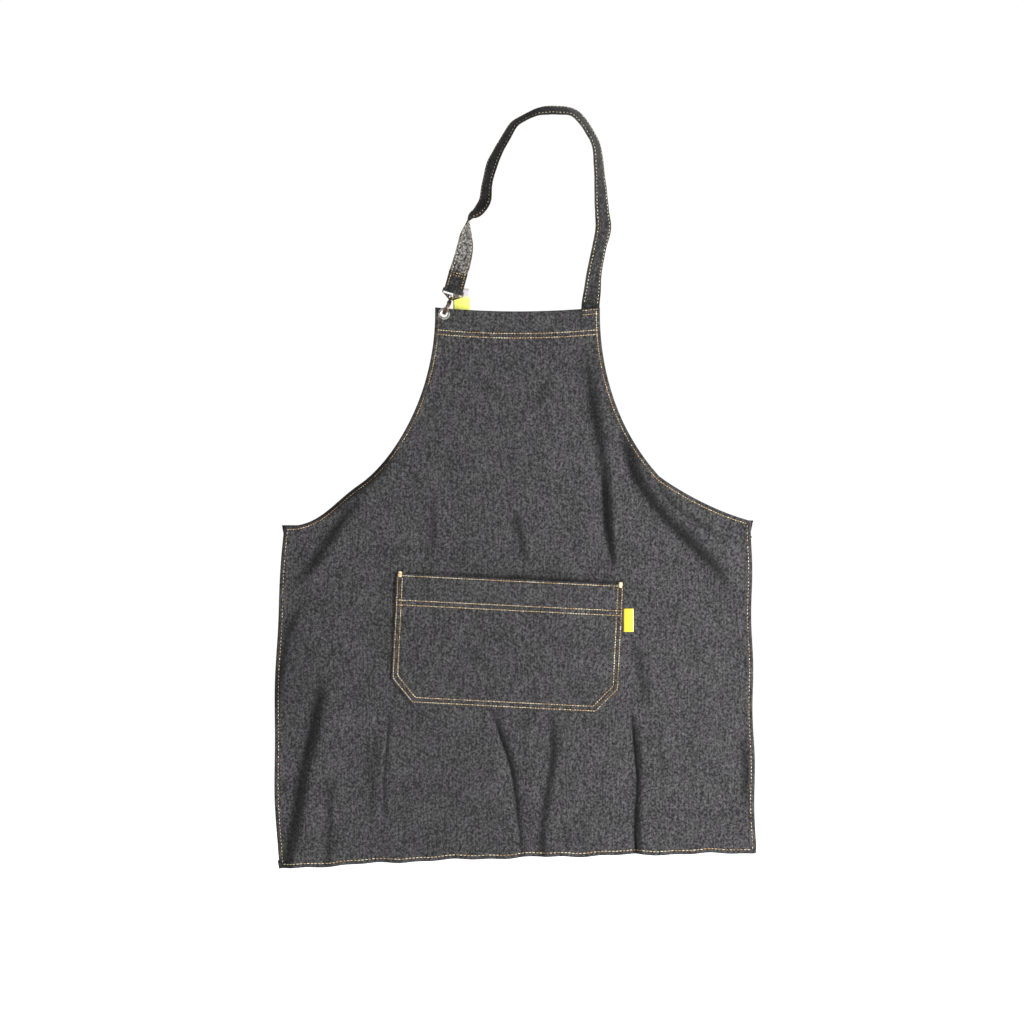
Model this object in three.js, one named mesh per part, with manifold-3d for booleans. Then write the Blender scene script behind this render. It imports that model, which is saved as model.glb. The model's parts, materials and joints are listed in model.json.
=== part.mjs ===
// A bib apron of dark denim, hung by its neck strap.
// The strap is sewn to the right of the bib and clipped to an eyelet at its left by a swivel snap hook.
// Millimetres, +Z up, +X to the right, and the front of the apron faces -Y.
// The origin is the underside of the neck strap at the top of its loop, where it hangs.

import * as THREE from 'three';
import { mergeVertices } from 'three/addons/utils/BufferGeometryUtils.js';
import Module from 'manifold-3d';

const wasm = await Module();
wasm.setup();

// ---- Driving dimensions -------------------------------------------------------------------------

const GAP = 0.3;                  // between pieces that touch

const BIB_WIDTH = 206;
const BIB_DIP = 5;                // how far the bib's top edge sags in the middle
const LOOP_RISE = 240.5;          // from the bib's top edge up to the hanging point
const LOOP_OFFSET = 45;           // from the bib's middle to the hanging point

const WAIST_WIDTH = 584;
const LEFT_WAIST_DROP = 273;      // from the bib's top edge down to each waist corner
const RIGHT_WAIST_DROP = 267;
const HEM_WIDTH = 597;
const LEFT_LENGTH = 702;          // from the bib's top edge down to each end of the bottom hem
const RIGHT_LENGTH = 683;
const SIDE_BOW = 8;               // how far the left side swells between its corners

const CLOTH = 1.2;                // one layer of denim
const HEM_CLOTH = 1.0;            // a turned-in layer
const TOP_HEM_DEPTH = 35;
const ARMHOLE_HEM = 7;
const SIDE_HEM = 8;
const BOTTOM_HEM = 10;

const POCKET_WIDTH = 286;
const POCKET_HEIGHT = 162;
const POCKET_CHAMFER_X = 27;
const POCKET_CHAMFER_Z = 30;
const POCKET_SEAM = 7;            // width of the sewn edge
const POCKET_ROOM = 6.5;          // how far the pocket stands open
const POCKET_HEM_DEPTH = 36;
const POCKET_TILT = 2.8;          // degrees, right end down
const POCKET_DROP = 339.5;        // from the bib's top edge to the pocket's
const POCKET_SHIFT = 9;           // how far the pocket lies left of the bib's middle
const BARTACK = 6;
const BARTACK_RISE = 0.8;

const POCKET_LABEL = { width: 11.5, height: 28.5, thickness: 1.0, drop: 30 };
const BIB_LABEL = { width: 21, rise: 24, thickness: 0.8, inset: 22.5 };

const STRAP_WIDTH = 23;
const STRAP_THICKNESS = 2.2;
const STRAP_END_THICKNESS = 2.6;
const STRAP_END_LENGTH = 21.5;
const STRAP_END_LEAN = 15.4;      // degrees from upright
const STRAP_END_CLOTH = 1.1;

const EYELET_INSET = 11.1;        // from the bib's left edge to the eyelet's centre
const EYELET_DROP = 7.8;          // from the bib's top edge to the eyelet's centre
const EYELET_HOLE = 4.6;          // radius
const EYELET_FLANGE = 7.4;        // radius
const EYELET_WALL = 0.6;
const EYELET_RISE = 0.9;

const HOOK_LEAN = 25;             // degrees from upright
const HOOK_TURN = 12;             // degrees about its stem, front arm to the right
const HOOK_INNER = 4.6;           // radius inside the bend
const HOOK_ARM = 2.4;
const HOOK_LENGTH = 5.5;          // between the centres of the two bends
const HOOK_THICKNESS = 3.6;
const NOSE_HEIGHT = 3.0;          // top of the nose above the lower bend's centre
const GATE_PIVOT_ANGLE = 44;      // degrees round the upper bend
const GATE_WIDTH = 2.2;
const GATE_BAR = 1.8;
const KNUCKLE = 1.5;              // radius
const LUG = 1.9;                  // radius
const PIN = 0.5;                  // radius
const SPRING = { radius: 1.35, bore: 0.8, length: 0.25 };

const STUD = 0.95;                // radius
const STUD_HEAD = { radius: 1.9, height: 1.6 };
const BOSS = { radius: 3.2, height: 2.6, gap: 0.5 };
const RING_BAR = 1.5;             // radius
const RING_PLATE = 2.4;
const RING_SIDE = 1.5;
const RING_SLOT = 3.9;
const RING_NECK = 8.3;            // from the bar down to the stud's head

const TIE_WIDTH = 24;
const TIE_THICKNESS = 1.4;
const TIE_TAB_LENGTH = 30;
const TIE_OVERHANG = 3;           // how far the turned tie shows past the waist corner
const TIE_INSET = 9;              // from the waist corner in to the end of the free tie
const BOW = { drop: 455, knot: 24, knotDepth: 10, loop: 66, loopDepth: 9, tail: 165 };

const CURVE_STEPS = 20;
const STRAP_STEPS = 72;
const TIE_STEPS = 24;

// ---- Worked out from them -----------------------------------------------------------------------

const rad = THREE.MathUtils.degToRad;
const bibLeft = -BIB_WIDTH / 2;
const bibRight = BIB_WIDTH / 2;
const panelFront = -CLOTH / 2;
const hemFront = CLOTH / 2 + GAP;
const hemBack = hemFront + HEM_CLOTH;
const sewnFront = hemBack + GAP;
const eyeletFront = panelFront - GAP - EYELET_RISE;
const eyeletBack = sewnFront + EYELET_RISE + GAP;
const hookY = (eyeletFront + eyeletBack) / 2;
const clearHole = EYELET_HOLE + EYELET_WALL + GAP;
const armCentre = HOOK_INNER + HOOK_ARM / 2;
const stemTop = HOOK_LENGTH + armCentre + HOOK_ARM / 2;
const headHeight = stemTop + BOSS.gap + BOSS.height + GAP + STUD_HEAD.height / 2;

// ---- Materials ----------------------------------------------------------------------------------

const finish = (color, roughness, metalness) => new THREE.MeshStandardMaterial({ color, roughness, metalness });
const denim = finish(0x3f3e41, 0.92, 0);
const denimBack = finish(0x8b8b87, 0.94, 0);
const thread = finish(0xd9b77e, 0.8, 0);
const nickel = finish(0x9a8a78, 0.35, 0.9);
const brightNickel = finish(0xd8d4cc, 0.3, 0.9);
const steel = finish(0x8c8c8c, 0.35, 1);
const yellowTape = finish(0xf2d63a, 0.85, 0);
const lemonTape = finish(0xf4f07c, 0.85, 0);

// ---- Building blocks ----------------------------------------------------------------------------

// A geometry with shared corners merged and its faces turned outwards.
function closed(geometry) {
  const bare = (geometry.index ? geometry.toNonIndexed() : geometry.clone());
  bare.deleteAttribute('normal');
  bare.deleteAttribute('uv');
  const merged = mergeVertices(bare, 1e-4);
  const p = merged.attributes.position;
  const index = merged.index.array;
  const [a, b, c] = [new THREE.Vector3(), new THREE.Vector3(), new THREE.Vector3()];
  const kept = [];
  let volume = 0;
  for (let i = 0; i < index.length; i += 3) {
    const corners = [index[i], index[i + 1], index[i + 2]];
    if (new Set(corners).size < 3) continue;
    kept.push(...corners);
    a.fromBufferAttribute(p, corners[0]);
    b.fromBufferAttribute(p, corners[1]);
    c.fromBufferAttribute(p, corners[2]);
    volume += a.dot(b.cross(c));
  }
  if (volume < 0) kept.reverse();
  merged.setIndex(kept);
  return merged;
}

function solid(geometry) {
  const g = closed(geometry);
  const mesh = new wasm.Mesh({
    numProp: 3,
    vertProperties: new Float32Array(g.attributes.position.array),
    triVerts: new Uint32Array(g.index.array),
  });
  return new wasm.Manifold(mesh);
}

function geometryOf(manifold) {
  const mesh = manifold.getMesh();
  const geometry = new THREE.BufferGeometry();
  geometry.setAttribute('position', new THREE.BufferAttribute(new Float32Array(mesh.vertProperties), 3));
  geometry.setIndex(Array.from(mesh.triVerts));
  return geometry;
}

// A flat plate standing in the X-Z plane, from y = front backwards.
function plate(shape, front, thickness, options = {}) {
  const geometry = new THREE.ExtrudeGeometry(shape, {
    depth: thickness, bevelEnabled: false, curveSegments: 12, ...options,
  });
  return geometry.rotateX(Math.PI / 2).translate(0, front + thickness, 0);
}

// A profile drawn in the Y-Z plane, extruded along X about the middle.
function bar(shape, length, options = {}) {
  const geometry = new THREE.ExtrudeGeometry(shape, {
    depth: length, bevelEnabled: false, curveSegments: 10, ...options,
  });
  return geometry.rotateX(Math.PI / 2).rotateZ(Math.PI / 2).translate(-length / 2, 0, 0);
}

const points = (...pairs) => pairs.map(([x, y]) => new THREE.Vector2(x, y));
const outline = (...pairs) => new THREE.Shape(points(...pairs));

function box(x0, x1, y0, y1, z0, z1) {
  return new THREE.BoxGeometry(x1 - x0, y1 - y0, z1 - z0)
    .translate((x0 + x1) / 2, (y0 + y1) / 2, (z0 + z1) / 2);
}

function circle(x, y, radius) {
  const path = new THREE.Path();
  path.absarc(x, y, radius, 0, 2 * Math.PI, true);
  return path;
}

// Two half circles joined by straight sides, one above the other.
function racetrack(path, radius, height) {
  path.absarc(0, height, radius, 0, Math.PI, false);
  path.absarc(0, 0, radius, Math.PI, 2 * Math.PI, false);
  path.closePath();
  return path;
}

// A flat band swept along a curve. Its width lies across the curve in the X-Z plane at roll 0,
// and along Y at roll 90.
function ribbon(route, rolls, width, thickness, steps) {
  const curve = new THREE.CatmullRomCurve3(route, false, 'centripetal');
  const turn = new THREE.CatmullRomCurve3(rolls.map((r) => new THREE.Vector3(r, 0, 0)), false, 'centripetal');
  const geometry = new THREE.BoxGeometry(width, thickness, 1, 1, 1, steps);
  const p = geometry.attributes.position;
  const depth = new THREE.Vector3(0, 1, 0);
  for (let i = 0; i < p.count; i += 1) {
    const t = THREE.MathUtils.clamp(p.getZ(i) + 0.5, 0, 1);
    const along = curve.getTangent(t);
    const across = depth.clone().cross(along).normalize();
    const roll = rad(turn.getPoint(t).x);
    const wide = across.multiplyScalar(Math.cos(roll)).addScaledVector(depth, Math.sin(roll));
    const thick = along.clone().cross(wide).normalize();
    const at = curve.getPoint(t).addScaledVector(wide, p.getX(i)).addScaledVector(thick, p.getY(i));
    p.setXYZ(i, at.x, at.y, at.z);
  }
  return geometry;
}

function piece(parent, name, geometry, material) {
  const mesh = new THREE.Mesh(closed(geometry), material);
  mesh.name = name;
  parent.add(mesh);
  return mesh;
}

function turned(parent, x, y, z, aboutY, aboutZ = 0) {
  const lean = new THREE.Group();
  lean.position.set(x, y, z);
  lean.rotation.y = rad(aboutY);
  parent.add(lean);
  const twist = new THREE.Group();
  twist.rotation.z = rad(aboutZ);
  lean.add(twist);
  return twist;
}

// ---- The apron's outline, from the middle of the bib's top edge -----------------------------------

// Each armhole runs from the bib's corner, (0, 0), to the waist corner, (1, 1), in two smooth bends.
const LEFT_ARMHOLE = [[0, 0], [-0.01, 0.39], [0.27, 0.7], [0.5, 0.81], [0.69, 0.9], [0.77, 1.01], [1, 1]];
const RIGHT_ARMHOLE = [[0, 0], [-0.01, 0.45], [0.28, 0.705], [0.39, 0.79], [0.53, 0.865], [0.78, 0.96], [1, 1]];

function armhole(side, fractions, drop) {
  const reach = (WAIST_WIDTH - BIB_WIDTH) / 2;
  const at = fractions.map(([u, v]) => new THREE.Vector2(side * (BIB_WIDTH / 2 + u * reach), -v * drop));
  const upper = new THREE.CubicBezierCurve(at[0], at[1], at[2], at[3]);
  const lower = new THREE.CubicBezierCurve(at[3], at[4], at[5], at[6]);
  return [...upper.getPoints(CURVE_STEPS), ...lower.getPoints(CURVE_STEPS).slice(1)];
}

const hemLeft = new THREE.Vector2(-HEM_WIDTH / 2, -LEFT_LENGTH);
const hemRight = new THREE.Vector2(HEM_WIDTH / 2, -RIGHT_LENGTH);
const leftArmhole = armhole(-1, LEFT_ARMHOLE, LEFT_WAIST_DROP);
const rightArmhole = armhole(1, RIGHT_ARMHOLE, RIGHT_WAIST_DROP);
const waistLeft = leftArmhole.at(-1);
const waistRight = rightArmhole.at(-1);

const between = (a, b, t, dx, dz) => new THREE.Vector2(a.x + (b.x - a.x) * t + dx, a.y + (b.y - a.y) * t + dz);
const leftSide = new THREE.QuadraticBezierCurve(
  waistLeft, between(waistLeft, hemLeft, 0.6, -2 * SIDE_BOW, 0), hemLeft,
).getPoints(CURVE_STEPS);
const rightSide = new THREE.LineCurve(waistRight, hemRight).getPoints(CURVE_STEPS);
const BOTTOM_LIFT = 6;
const bottomEdge = new THREE.CubicBezierCurve(
  hemLeft, between(hemLeft, hemRight, 0.33, 0, BOTTOM_LIFT), between(hemLeft, hemRight, 0.66, 0, BOTTOM_LIFT), hemRight,
).getPoints(CURVE_STEPS);
const topEdge = new THREE.QuadraticBezierCurve(
  new THREE.Vector2(bibRight, 0), new THREE.Vector2(0, -2 * BIB_DIP), new THREE.Vector2(bibLeft, 0),
).getPoints(CURVE_STEPS);

// The edge moved sideways by a distance, to its left as the points run.
function offset(edge, distance) {
  return edge.map((p, i) => {
    const before = edge[Math.max(i - 1, 0)];
    const after = edge[Math.min(i + 1, edge.length - 1)];
    const along = after.clone().sub(before).normalize();
    return new THREE.Vector2(p.x - along.y * distance, p.y + along.x * distance);
  });
}

function bandShape(edge, distance) {
  return new THREE.Shape([...edge, ...offset(edge, distance).reverse()]);
}

// The points of an edge between two heights.
const within = (edge, high, low) => edge.filter((p) => p.y <= high && p.y >= low);

// ---- Body of the apron ---------------------------------------------------------------------------

const eyeletX = bibLeft + EYELET_INSET;
const eyeletZ = -EYELET_DROP;

function bodyPanel() {
  const edge = [
    ...leftArmhole, ...leftSide.slice(1), ...bottomEdge.slice(1),
    ...rightSide.slice(0, -1).reverse(), ...rightArmhole.slice(0, -1).reverse(), ...topEdge.slice(1, -1),
  ];
  const shape = new THREE.Shape(edge);
  shape.holes.push(circle(eyeletX, eyeletZ, clearHole));
  return plate(shape, panelFront, CLOTH);
}

function bibTopHem() {
  const lower = topEdge.map((p) => new THREE.Vector2(p.x, p.y - TOP_HEM_DEPTH));
  const shape = new THREE.Shape([...topEdge, ...lower.reverse()]);
  shape.holes.push(circle(eyeletX, eyeletZ, clearHole));
  return plate(shape, hemFront, HEM_CLOTH);
}

function armholeHem(edge, side) {
  const run = within(edge, -TOP_HEM_DEPTH - 2 * GAP, -Infinity);
  return plate(bandShape(run, -side * ARMHOLE_HEM), hemFront, HEM_CLOTH);
}

function sideHem(edge, side) {
  const top = edge[0].y - ARMHOLE_HEM - 2;
  const bottom = edge.at(-1).y + BOTTOM_HEM + 2;
  return plate(bandShape(within(edge, top, bottom), -side * SIDE_HEM), hemFront, HEM_CLOTH);
}

function bottomHem() {
  return plate(bandShape(bottomEdge, BOTTOM_HEM), hemFront, HEM_CLOTH);
}

// ---- Pocket, from the middle of its top edge -------------------------------------------------------

function pocketOutline(inset, topInset) {
  const half = POCKET_WIDTH / 2 - inset;
  const low = -POCKET_HEIGHT + inset;
  const cutX = POCKET_CHAMFER_X - inset * 0.4;
  const cutZ = POCKET_CHAMFER_Z - inset * 0.4;
  return outline(
    [-half, topInset], [-half, low + cutZ], [-half + cutX, low], [half - cutX, low], [half, low + cutZ], [half, topInset],
  );
}

function pocketPanel() {
  const depth = POCKET_ROOM + CLOTH;
  const whole = solid(plate(pocketOutline(0, 0), 0, depth));
  const room = solid(plate(pocketOutline(POCKET_SEAM, 1), CLOTH, depth));
  return geometryOf(whole.subtract(room));
}

function pocketTopHem() {
  const half = POCKET_WIDTH / 2 - POCKET_SEAM - GAP;
  return box(-half, half, CLOTH + GAP, CLOTH + GAP + HEM_CLOTH, -POCKET_HEM_DEPTH, 0);
}

function bartack() {
  return new THREE.CylinderGeometry(BARTACK / 2, BARTACK / 2, BARTACK_RISE, 16);
}

function addPocket(apron) {
  const pocketBack = panelFront - GAP;
  const front = pocketBack - POCKET_ROOM - CLOTH;
  const pocket = turned(apron, -POCKET_SHIFT, front, -POCKET_DROP, POCKET_TILT);
  piece(pocket, 'pocket_panel', pocketPanel(), denim);
  piece(pocket, 'pocket_top_hem', pocketTopHem(), denimBack);
  for (const [name, side] of [['left', -1], ['right', 1]]) {
    const x = side * (POCKET_WIDTH / 2 - BARTACK / 2 - 1);
    const tack = piece(pocket, `${name}_bartack`, bartack(), thread);
    tack.position.set(x, -GAP - BARTACK_RISE / 2, -1);
  }
  const { width, height, thickness, drop } = POCKET_LABEL;
  const left = POCKET_WIDTH / 2 + GAP;
  const labelFront = POCKET_ROOM + CLOTH - thickness - GAP;
  const label = box(left, left + width, labelFront, labelFront + thickness, -drop - height, -drop);
  piece(pocket, 'pocket_label', label, yellowTape);
}

// ---- Eyelet -----------------------------------------------------------------------------------------

function eyeletFlange() {
  const outer = EYELET_HOLE + EYELET_WALL;
  const profile = points(
    [EYELET_HOLE, eyeletFront + 0.2], [EYELET_HOLE + 0.3, eyeletFront], [EYELET_FLANGE - 0.4, eyeletFront],
    [EYELET_FLANGE, eyeletFront + 0.4], [EYELET_FLANGE, panelFront - GAP], [outer, panelFront - GAP],
    [outer, eyeletBack], [EYELET_HOLE, eyeletBack], [EYELET_HOLE, eyeletFront + 0.2],
  );
  return new THREE.LatheGeometry(profile, 32);
}

function eyeletWasher() {
  const bore = clearHole;
  const back = sewnFront + EYELET_RISE;
  const profile = points([bore, sewnFront], [EYELET_FLANGE, sewnFront], [EYELET_FLANGE, back], [bore, back], [bore, sewnFront]);
  return new THREE.LatheGeometry(profile, 32);
}

// ---- Snap hook, from the centre of its lower bend, its stem along +Z ---------------------------------

const pivotY = armCentre * Math.cos(rad(GATE_PIVOT_ANGLE));
const pivotZ = HOOK_LENGTH + armCentre * Math.sin(rad(GATE_PIVOT_ANGLE));
const gateSlot = GATE_WIDTH / 2 + GAP;

function rodAlongX(radius, length) {
  return new THREE.CylinderGeometry(radius, radius, length, 20).rotateZ(Math.PI / 2);
}

function rodAlongZ(radius, low, high) {
  return new THREE.CylinderGeometry(radius, radius, high - low, 24).rotateX(Math.PI / 2).translate(0, 0, (low + high) / 2);
}

function hookBody() {
  const shape = racetrack(new THREE.Shape(), armCentre + HOOK_ARM / 2, HOOK_LENGTH);
  shape.holes.push(racetrack(new THREE.Path(), HOOK_INNER, HOOK_LENGTH));
  const mouth = box(-HOOK_THICKNESS, HOOK_THICKNESS, HOOK_INNER / 2, 2 * armCentre, NOSE_HEIGHT, pivotZ);
  const lug = rodAlongX(LUG, HOOK_THICKNESS).translate(0, pivotY, pivotZ);
  const reach = KNUCKLE + GAP;
  const slot = box(-gateSlot, gateSlot, pivotY - 1.5 * reach, pivotY + 2 * reach, pivotZ - 2 * reach, pivotZ + reach);
  const pinHole = rodAlongX(PIN + GAP, 2 * HOOK_THICKNESS).translate(0, pivotY, pivotZ);
  const studHole = rodAlongZ(STUD + GAP, stemTop - HOOK_ARM + 0.5, stemTop + 1);
  return geometryOf(
    solid(bar(shape, HOOK_THICKNESS)).subtract(solid(mouth)).add(solid(lug))
      .subtract(solid(slot)).subtract(solid(pinHole)).subtract(solid(studHole)),
  );
}

// The gate, from its pivot.
function gate() {
  const tipY = armCentre - pivotY;
  const tipZ = NOSE_HEIGHT + GAP - pivotZ;
  const half = GATE_BAR / 2;
  const blade = outline([-half, 0], [tipY - half, tipZ], [tipY + half, tipZ + 1.5 * GAP], [half + 0.2, 0]);
  const bore = rodAlongX(PIN + GAP, 2 * GATE_WIDTH);
  return geometryOf(solid(bar(blade, GATE_WIDTH)).add(solid(rodAlongX(KNUCKLE, GATE_WIDTH))).subtract(solid(bore)));
}

function gateSpring() {
  const { radius, bore, length } = SPRING;
  const profile = points([bore, 0], [radius, 0], [radius, length], [bore, length], [bore, 0]);
  return new THREE.LatheGeometry(profile, 20).rotateZ(-Math.PI / 2);
}

function swivelStud() {
  const shaft = rodAlongZ(STUD, stemTop - HOOK_ARM + 0.5 + GAP, headHeight);
  const half = STUD_HEAD.height / 2;
  const head = rodAlongZ(STUD_HEAD.radius, headHeight - half, headHeight + half);
  return geometryOf(solid(shaft).add(solid(head)));
}

// ---- Strap ring, from the middle of its bar, hanging along -Z ------------------------------------------

const slotHalf = STRAP_WIDTH / 2 + 0.4;
const bossTop = -RING_NECK - STUD_HEAD.height / 2 - GAP;
const bossBottom = bossTop - BOSS.height;

function strapRing() {
  const wide = slotHalf + RING_SIDE;
  const slotLow = -RING_BAR - RING_SLOT;
  const windowTop = -RING_NECK + STUD_HEAD.height / 2 + 0.8;
  const windowHalf = STUD_HEAD.radius + 1.2;
  const shoulder = slotLow + 0.8;
  const railHalf = 0.7 * RING_BAR;
  const shape = outline(
    [-wide, railHalf], [-wide, shoulder], [-BOSS.radius, bossBottom + 0.6], [BOSS.radius, bossBottom + 0.6],
    [wide, shoulder], [wide, railHalf],
  );
  shape.holes.push(new THREE.Path(points(
    [-slotHalf, -railHalf], [slotHalf, -railHalf], [slotHalf, slotLow], [-slotHalf, slotLow],
  )));
  shape.holes.push(new THREE.Path(points(
    [-windowHalf, windowTop], [windowHalf, windowTop], [windowHalf, bossTop], [-windowHalf, bossTop],
  )));
  const frame = solid(plate(shape, -RING_PLATE / 2, RING_PLATE));
  const crossbar = solid(rodAlongX(RING_BAR, 2 * slotHalf + RING_SIDE));
  const boss = solid(rodAlongZ(BOSS.radius, bossBottom, bossTop));
  const stem = rodAlongZ(STUD + 0.45, -10, 10).rotateY(rad(HOOK_LEAN - STRAP_END_LEAN)).translate(0, 0, -RING_NECK);
  return geometryOf(frame.add(crossbar).add(boss).subtract(solid(stem)));
}

// The end of the strap, turned round the ring's bar and sewn to itself.
function strapEndLoop() {
  const bore = RING_BAR + 0.4;
  const outer = bore + STRAP_END_CLOTH;
  const half = STRAP_END_THICKNESS / 2;
  const shoulder = 3 * outer;
  const shape = new THREE.Shape();
  shape.moveTo(half, STRAP_END_LENGTH);
  shape.lineTo(-half, STRAP_END_LENGTH);
  shape.lineTo(-half, shoulder);
  shape.lineTo(-outer, 0);
  shape.absarc(0, 0, outer, Math.PI, 2 * Math.PI, false);
  shape.lineTo(half, shoulder);
  shape.closePath();
  shape.holes.push(circle(0, 0, bore));
  return bar(shape, STRAP_WIDTH);
}

// ---- Neck strap ------------------------------------------------------------------------------------------

// The strap's middle line from its sewn end up, over and down to the ring.
// Each row: x from the bib's middle as a share of the bib's width, the rise as a share of the loop's,
// and the roll in degrees: 0 with its face to the front, 180 with its wrong side to the front.
const STRAP_ROUTE = [
  [0.468, 0.184, 35], [0.498, 0.316, 38], [0.522, 0.412, 30], [0.514, 0.496, 38],
  [0.507, 0.584, 44], [0.498, 0.693, 55], [0.483, 0.828, 62], [0.444, 0.906, 62],
  [0.387, 0.979, 62], [0.334, 1.016, 60], [0.257, 1.027, 58], [0.185, 1.027, 58],
  [0.114, 1.017, 62], [0.041, 0.988, 66], [-0.021, 0.953, 64], [-0.07, 0.886, 60],
  [-0.115, 0.818, 58], [-0.157, 0.74, 52], [-0.193, 0.636, 55], [-0.218, 0.553, 50],
  [-0.262, 0.49, 66], [-0.303, 0.433, 100], [-0.315, 0.376, 135], [-0.32, 0.308, 158],
  [-0.34, 0.23, 172],
];
const STRAP_REST_Y = 0;
const strapRootX = bibRight - STRAP_WIDTH / 2 - 0.5;
const strapRootY = sewnFront + STRAP_THICKNESS / 2;

function rowsToRoute(first, rows, last) {
  const n = rows.length;
  const route = [first];
  rows.forEach(([u, v], i) => {
    const drift = Math.max(0, 1 - (i + 1) / 4);
    const back = Math.max(0, 1 - (n - i) / 4);
    const y = STRAP_REST_Y + drift * (first.y - STRAP_REST_Y) + back * (last.y - STRAP_REST_Y);
    route.push(new THREE.Vector3(u * BIB_WIDTH, y, v * LOOP_RISE));
  });
  route.push(last);
  return route;
}

// The last stretch runs straight into the sewn end.
function neckStrap(first, last, lean) {
  const route = rowsToRoute(first, STRAP_ROUTE, last);
  const straight = STRAP_WIDTH / 4;
  const entry = new THREE.Vector3(last.x + straight * Math.sin(lean), last.y, last.z + straight * Math.cos(lean));
  route.splice(-1, 0, entry);
  const rolls = [10, ...STRAP_ROUTE.map((row) => row[2]), 180, 180];
  return ribbon(route, rolls, STRAP_WIDTH, STRAP_THICKNESS, STRAP_STEPS);
}

// ---- Waist ties, tied in a bow behind --------------------------------------------------------------------

const tieFront = sewnFront + TIE_THICKNESS + GAP;
const tieY = tieFront + TIE_THICKNESS / 2;
const bowY = tieFront + BOW.knotDepth / 2;

function tieTab(corner, side) {
  const out = corner.x + side * TIE_OVERHANG;
  const inner = corner.x - side * TIE_TAB_LENGTH;
  const top = corner.y + 1;
  return box(Math.min(out, inner), Math.max(out, inner), sewnFront, sewnFront + TIE_THICKNESS, top - TIE_WIDTH, top);
}

function waistTie(corner, side) {
  const startX = corner.x - side * TIE_INSET;
  const startZ = corner.y + 1 - TIE_WIDTH / 2;
  const endX = side * (BOW.knot / 2 + 2);
  const endZ = -BOW.drop + 2;
  const sag = 14;
  const at = (t) => new THREE.Vector3(
    startX + (endX - startX) * t, tieY, startZ + (endZ - startZ) * t - 4 * sag * t * (1 - t) * (1 - t),
  );
  const route = [0, 0.08, 0.2, 0.35, 0.5, 0.65, 0.8, 0.92, 1].map(at);
  route[0].z = startZ;
  route[1].z = startZ - 1;
  return ribbon(route, [0, 0], TIE_WIDTH, TIE_THICKNESS, TIE_STEPS);
}

function bowLoop(side) {
  const radius = BOW.loopDepth / 2;
  const reach = BOW.loop - radius;
  const shape = new THREE.Shape();
  shape.absarc(0, 0, radius, Math.PI, 2 * Math.PI, false);
  shape.absarc(0, reach, radius, 0, Math.PI, false);
  shape.closePath();
  const room = radius - TIE_THICKNESS;
  const hole = new THREE.Path();
  hole.absarc(0, reach, room, 0, Math.PI, false);
  hole.absarc(0, 0, room, Math.PI, 2 * Math.PI, false);
  hole.closePath();
  shape.holes.push(hole);
  return bar(shape, TIE_WIDTH).rotateY(rad(side * 118)).translate(side * 4, 0, 0);
}

function bowTail(side) {
  const route = [
    [2, 0], [6, -0.25], [13, -0.55], [17, -0.8], [16, -1],
  ].map(([x, z]) => new THREE.Vector3(side * (x + 3), side * 1.2, z * BOW.tail));
  return ribbon(route, [0, 0], TIE_WIDTH, TIE_THICKNESS, TIE_STEPS);
}

function waistBow() {
  const half = BOW.knot / 2;
  const deep = BOW.knotDepth / 2;
  const knot = solid(box(-half, half, -deep, deep, -half, half));
  return geometryOf(
    knot.add(solid(bowLoop(-1))).add(solid(bowLoop(1))).add(solid(bowTail(-1))).add(solid(bowTail(1))),
  );
}

// ---- Assembly ----------------------------------------------------------------------------------------------

const group = new THREE.Group();
const apron = new THREE.Group();
apron.position.set(-LOOP_OFFSET, 0, -LOOP_RISE);
group.add(apron);

piece(apron, 'body_panel', bodyPanel(), denim);
piece(apron, 'bib_top_hem', bibTopHem(), denim);
piece(apron, 'left_armhole_hem', armholeHem(leftArmhole, -1), denim);
piece(apron, 'right_armhole_hem', armholeHem(rightArmhole, 1), denim);
piece(apron, 'left_side_hem', sideHem(leftSide, -1), denim);
piece(apron, 'right_side_hem', sideHem(rightSide, 1), denim);
piece(apron, 'bottom_hem', bottomHem(), denim);
addPocket(apron);

const eyelet = turned(apron, eyeletX, 0, eyeletZ, 0);
piece(eyelet, 'eyelet_flange', eyeletFlange(), brightNickel);
piece(eyelet, 'eyelet_washer', eyeletWasher(), brightNickel);

// The hook's lower bend passes through the middle of the eyelet.
const lean = rad(HOOK_LEAN);
const bendX = eyeletX + armCentre * Math.sin(lean);
const bendZ = eyeletZ + armCentre * Math.cos(lean);
const hook = turned(apron, bendX, hookY, bendZ, HOOK_LEAN, HOOK_TURN);
piece(hook, 'hook_body', hookBody(), nickel);
piece(hook, 'swivel_stud', swivelStud(), nickel);
const swing = new THREE.Group();
swing.position.set(0, pivotY, pivotZ);
hook.add(swing);
piece(swing, 'gate', gate(), nickel);
piece(swing, 'gate_pin', rodAlongX(PIN, HOOK_THICKNESS), steel);
piece(swing, 'gate_spring', gateSpring(), steel).position.x = GATE_WIDTH / 2 + 0.02;

const headX = bendX + headHeight * Math.sin(lean);
const headZ = bendZ + headHeight * Math.cos(lean);
const strapLean = rad(STRAP_END_LEAN);
const barX = headX + RING_NECK * Math.sin(strapLean);
const barZ = headZ + RING_NECK * Math.cos(strapLean);
const ringPlace = turned(apron, barX, hookY, barZ, STRAP_END_LEAN);
piece(ringPlace, 'strap_ring', strapRing(), nickel);
piece(ringPlace, 'strap_end_loop', strapEndLoop(), denim);

const strapFootZ = bendZ + 7;
const strapHead = STRAP_END_LENGTH + 2 * GAP;
const strapFrom = new THREE.Vector3(strapRootX, strapRootY, strapFootZ);
const strapTo = new THREE.Vector3(
  barX + strapHead * Math.sin(strapLean), hookY, barZ + strapHead * Math.cos(strapLean),
);
piece(apron, 'neck_strap', neckStrap(strapFrom, strapTo, strapLean), denim);

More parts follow.
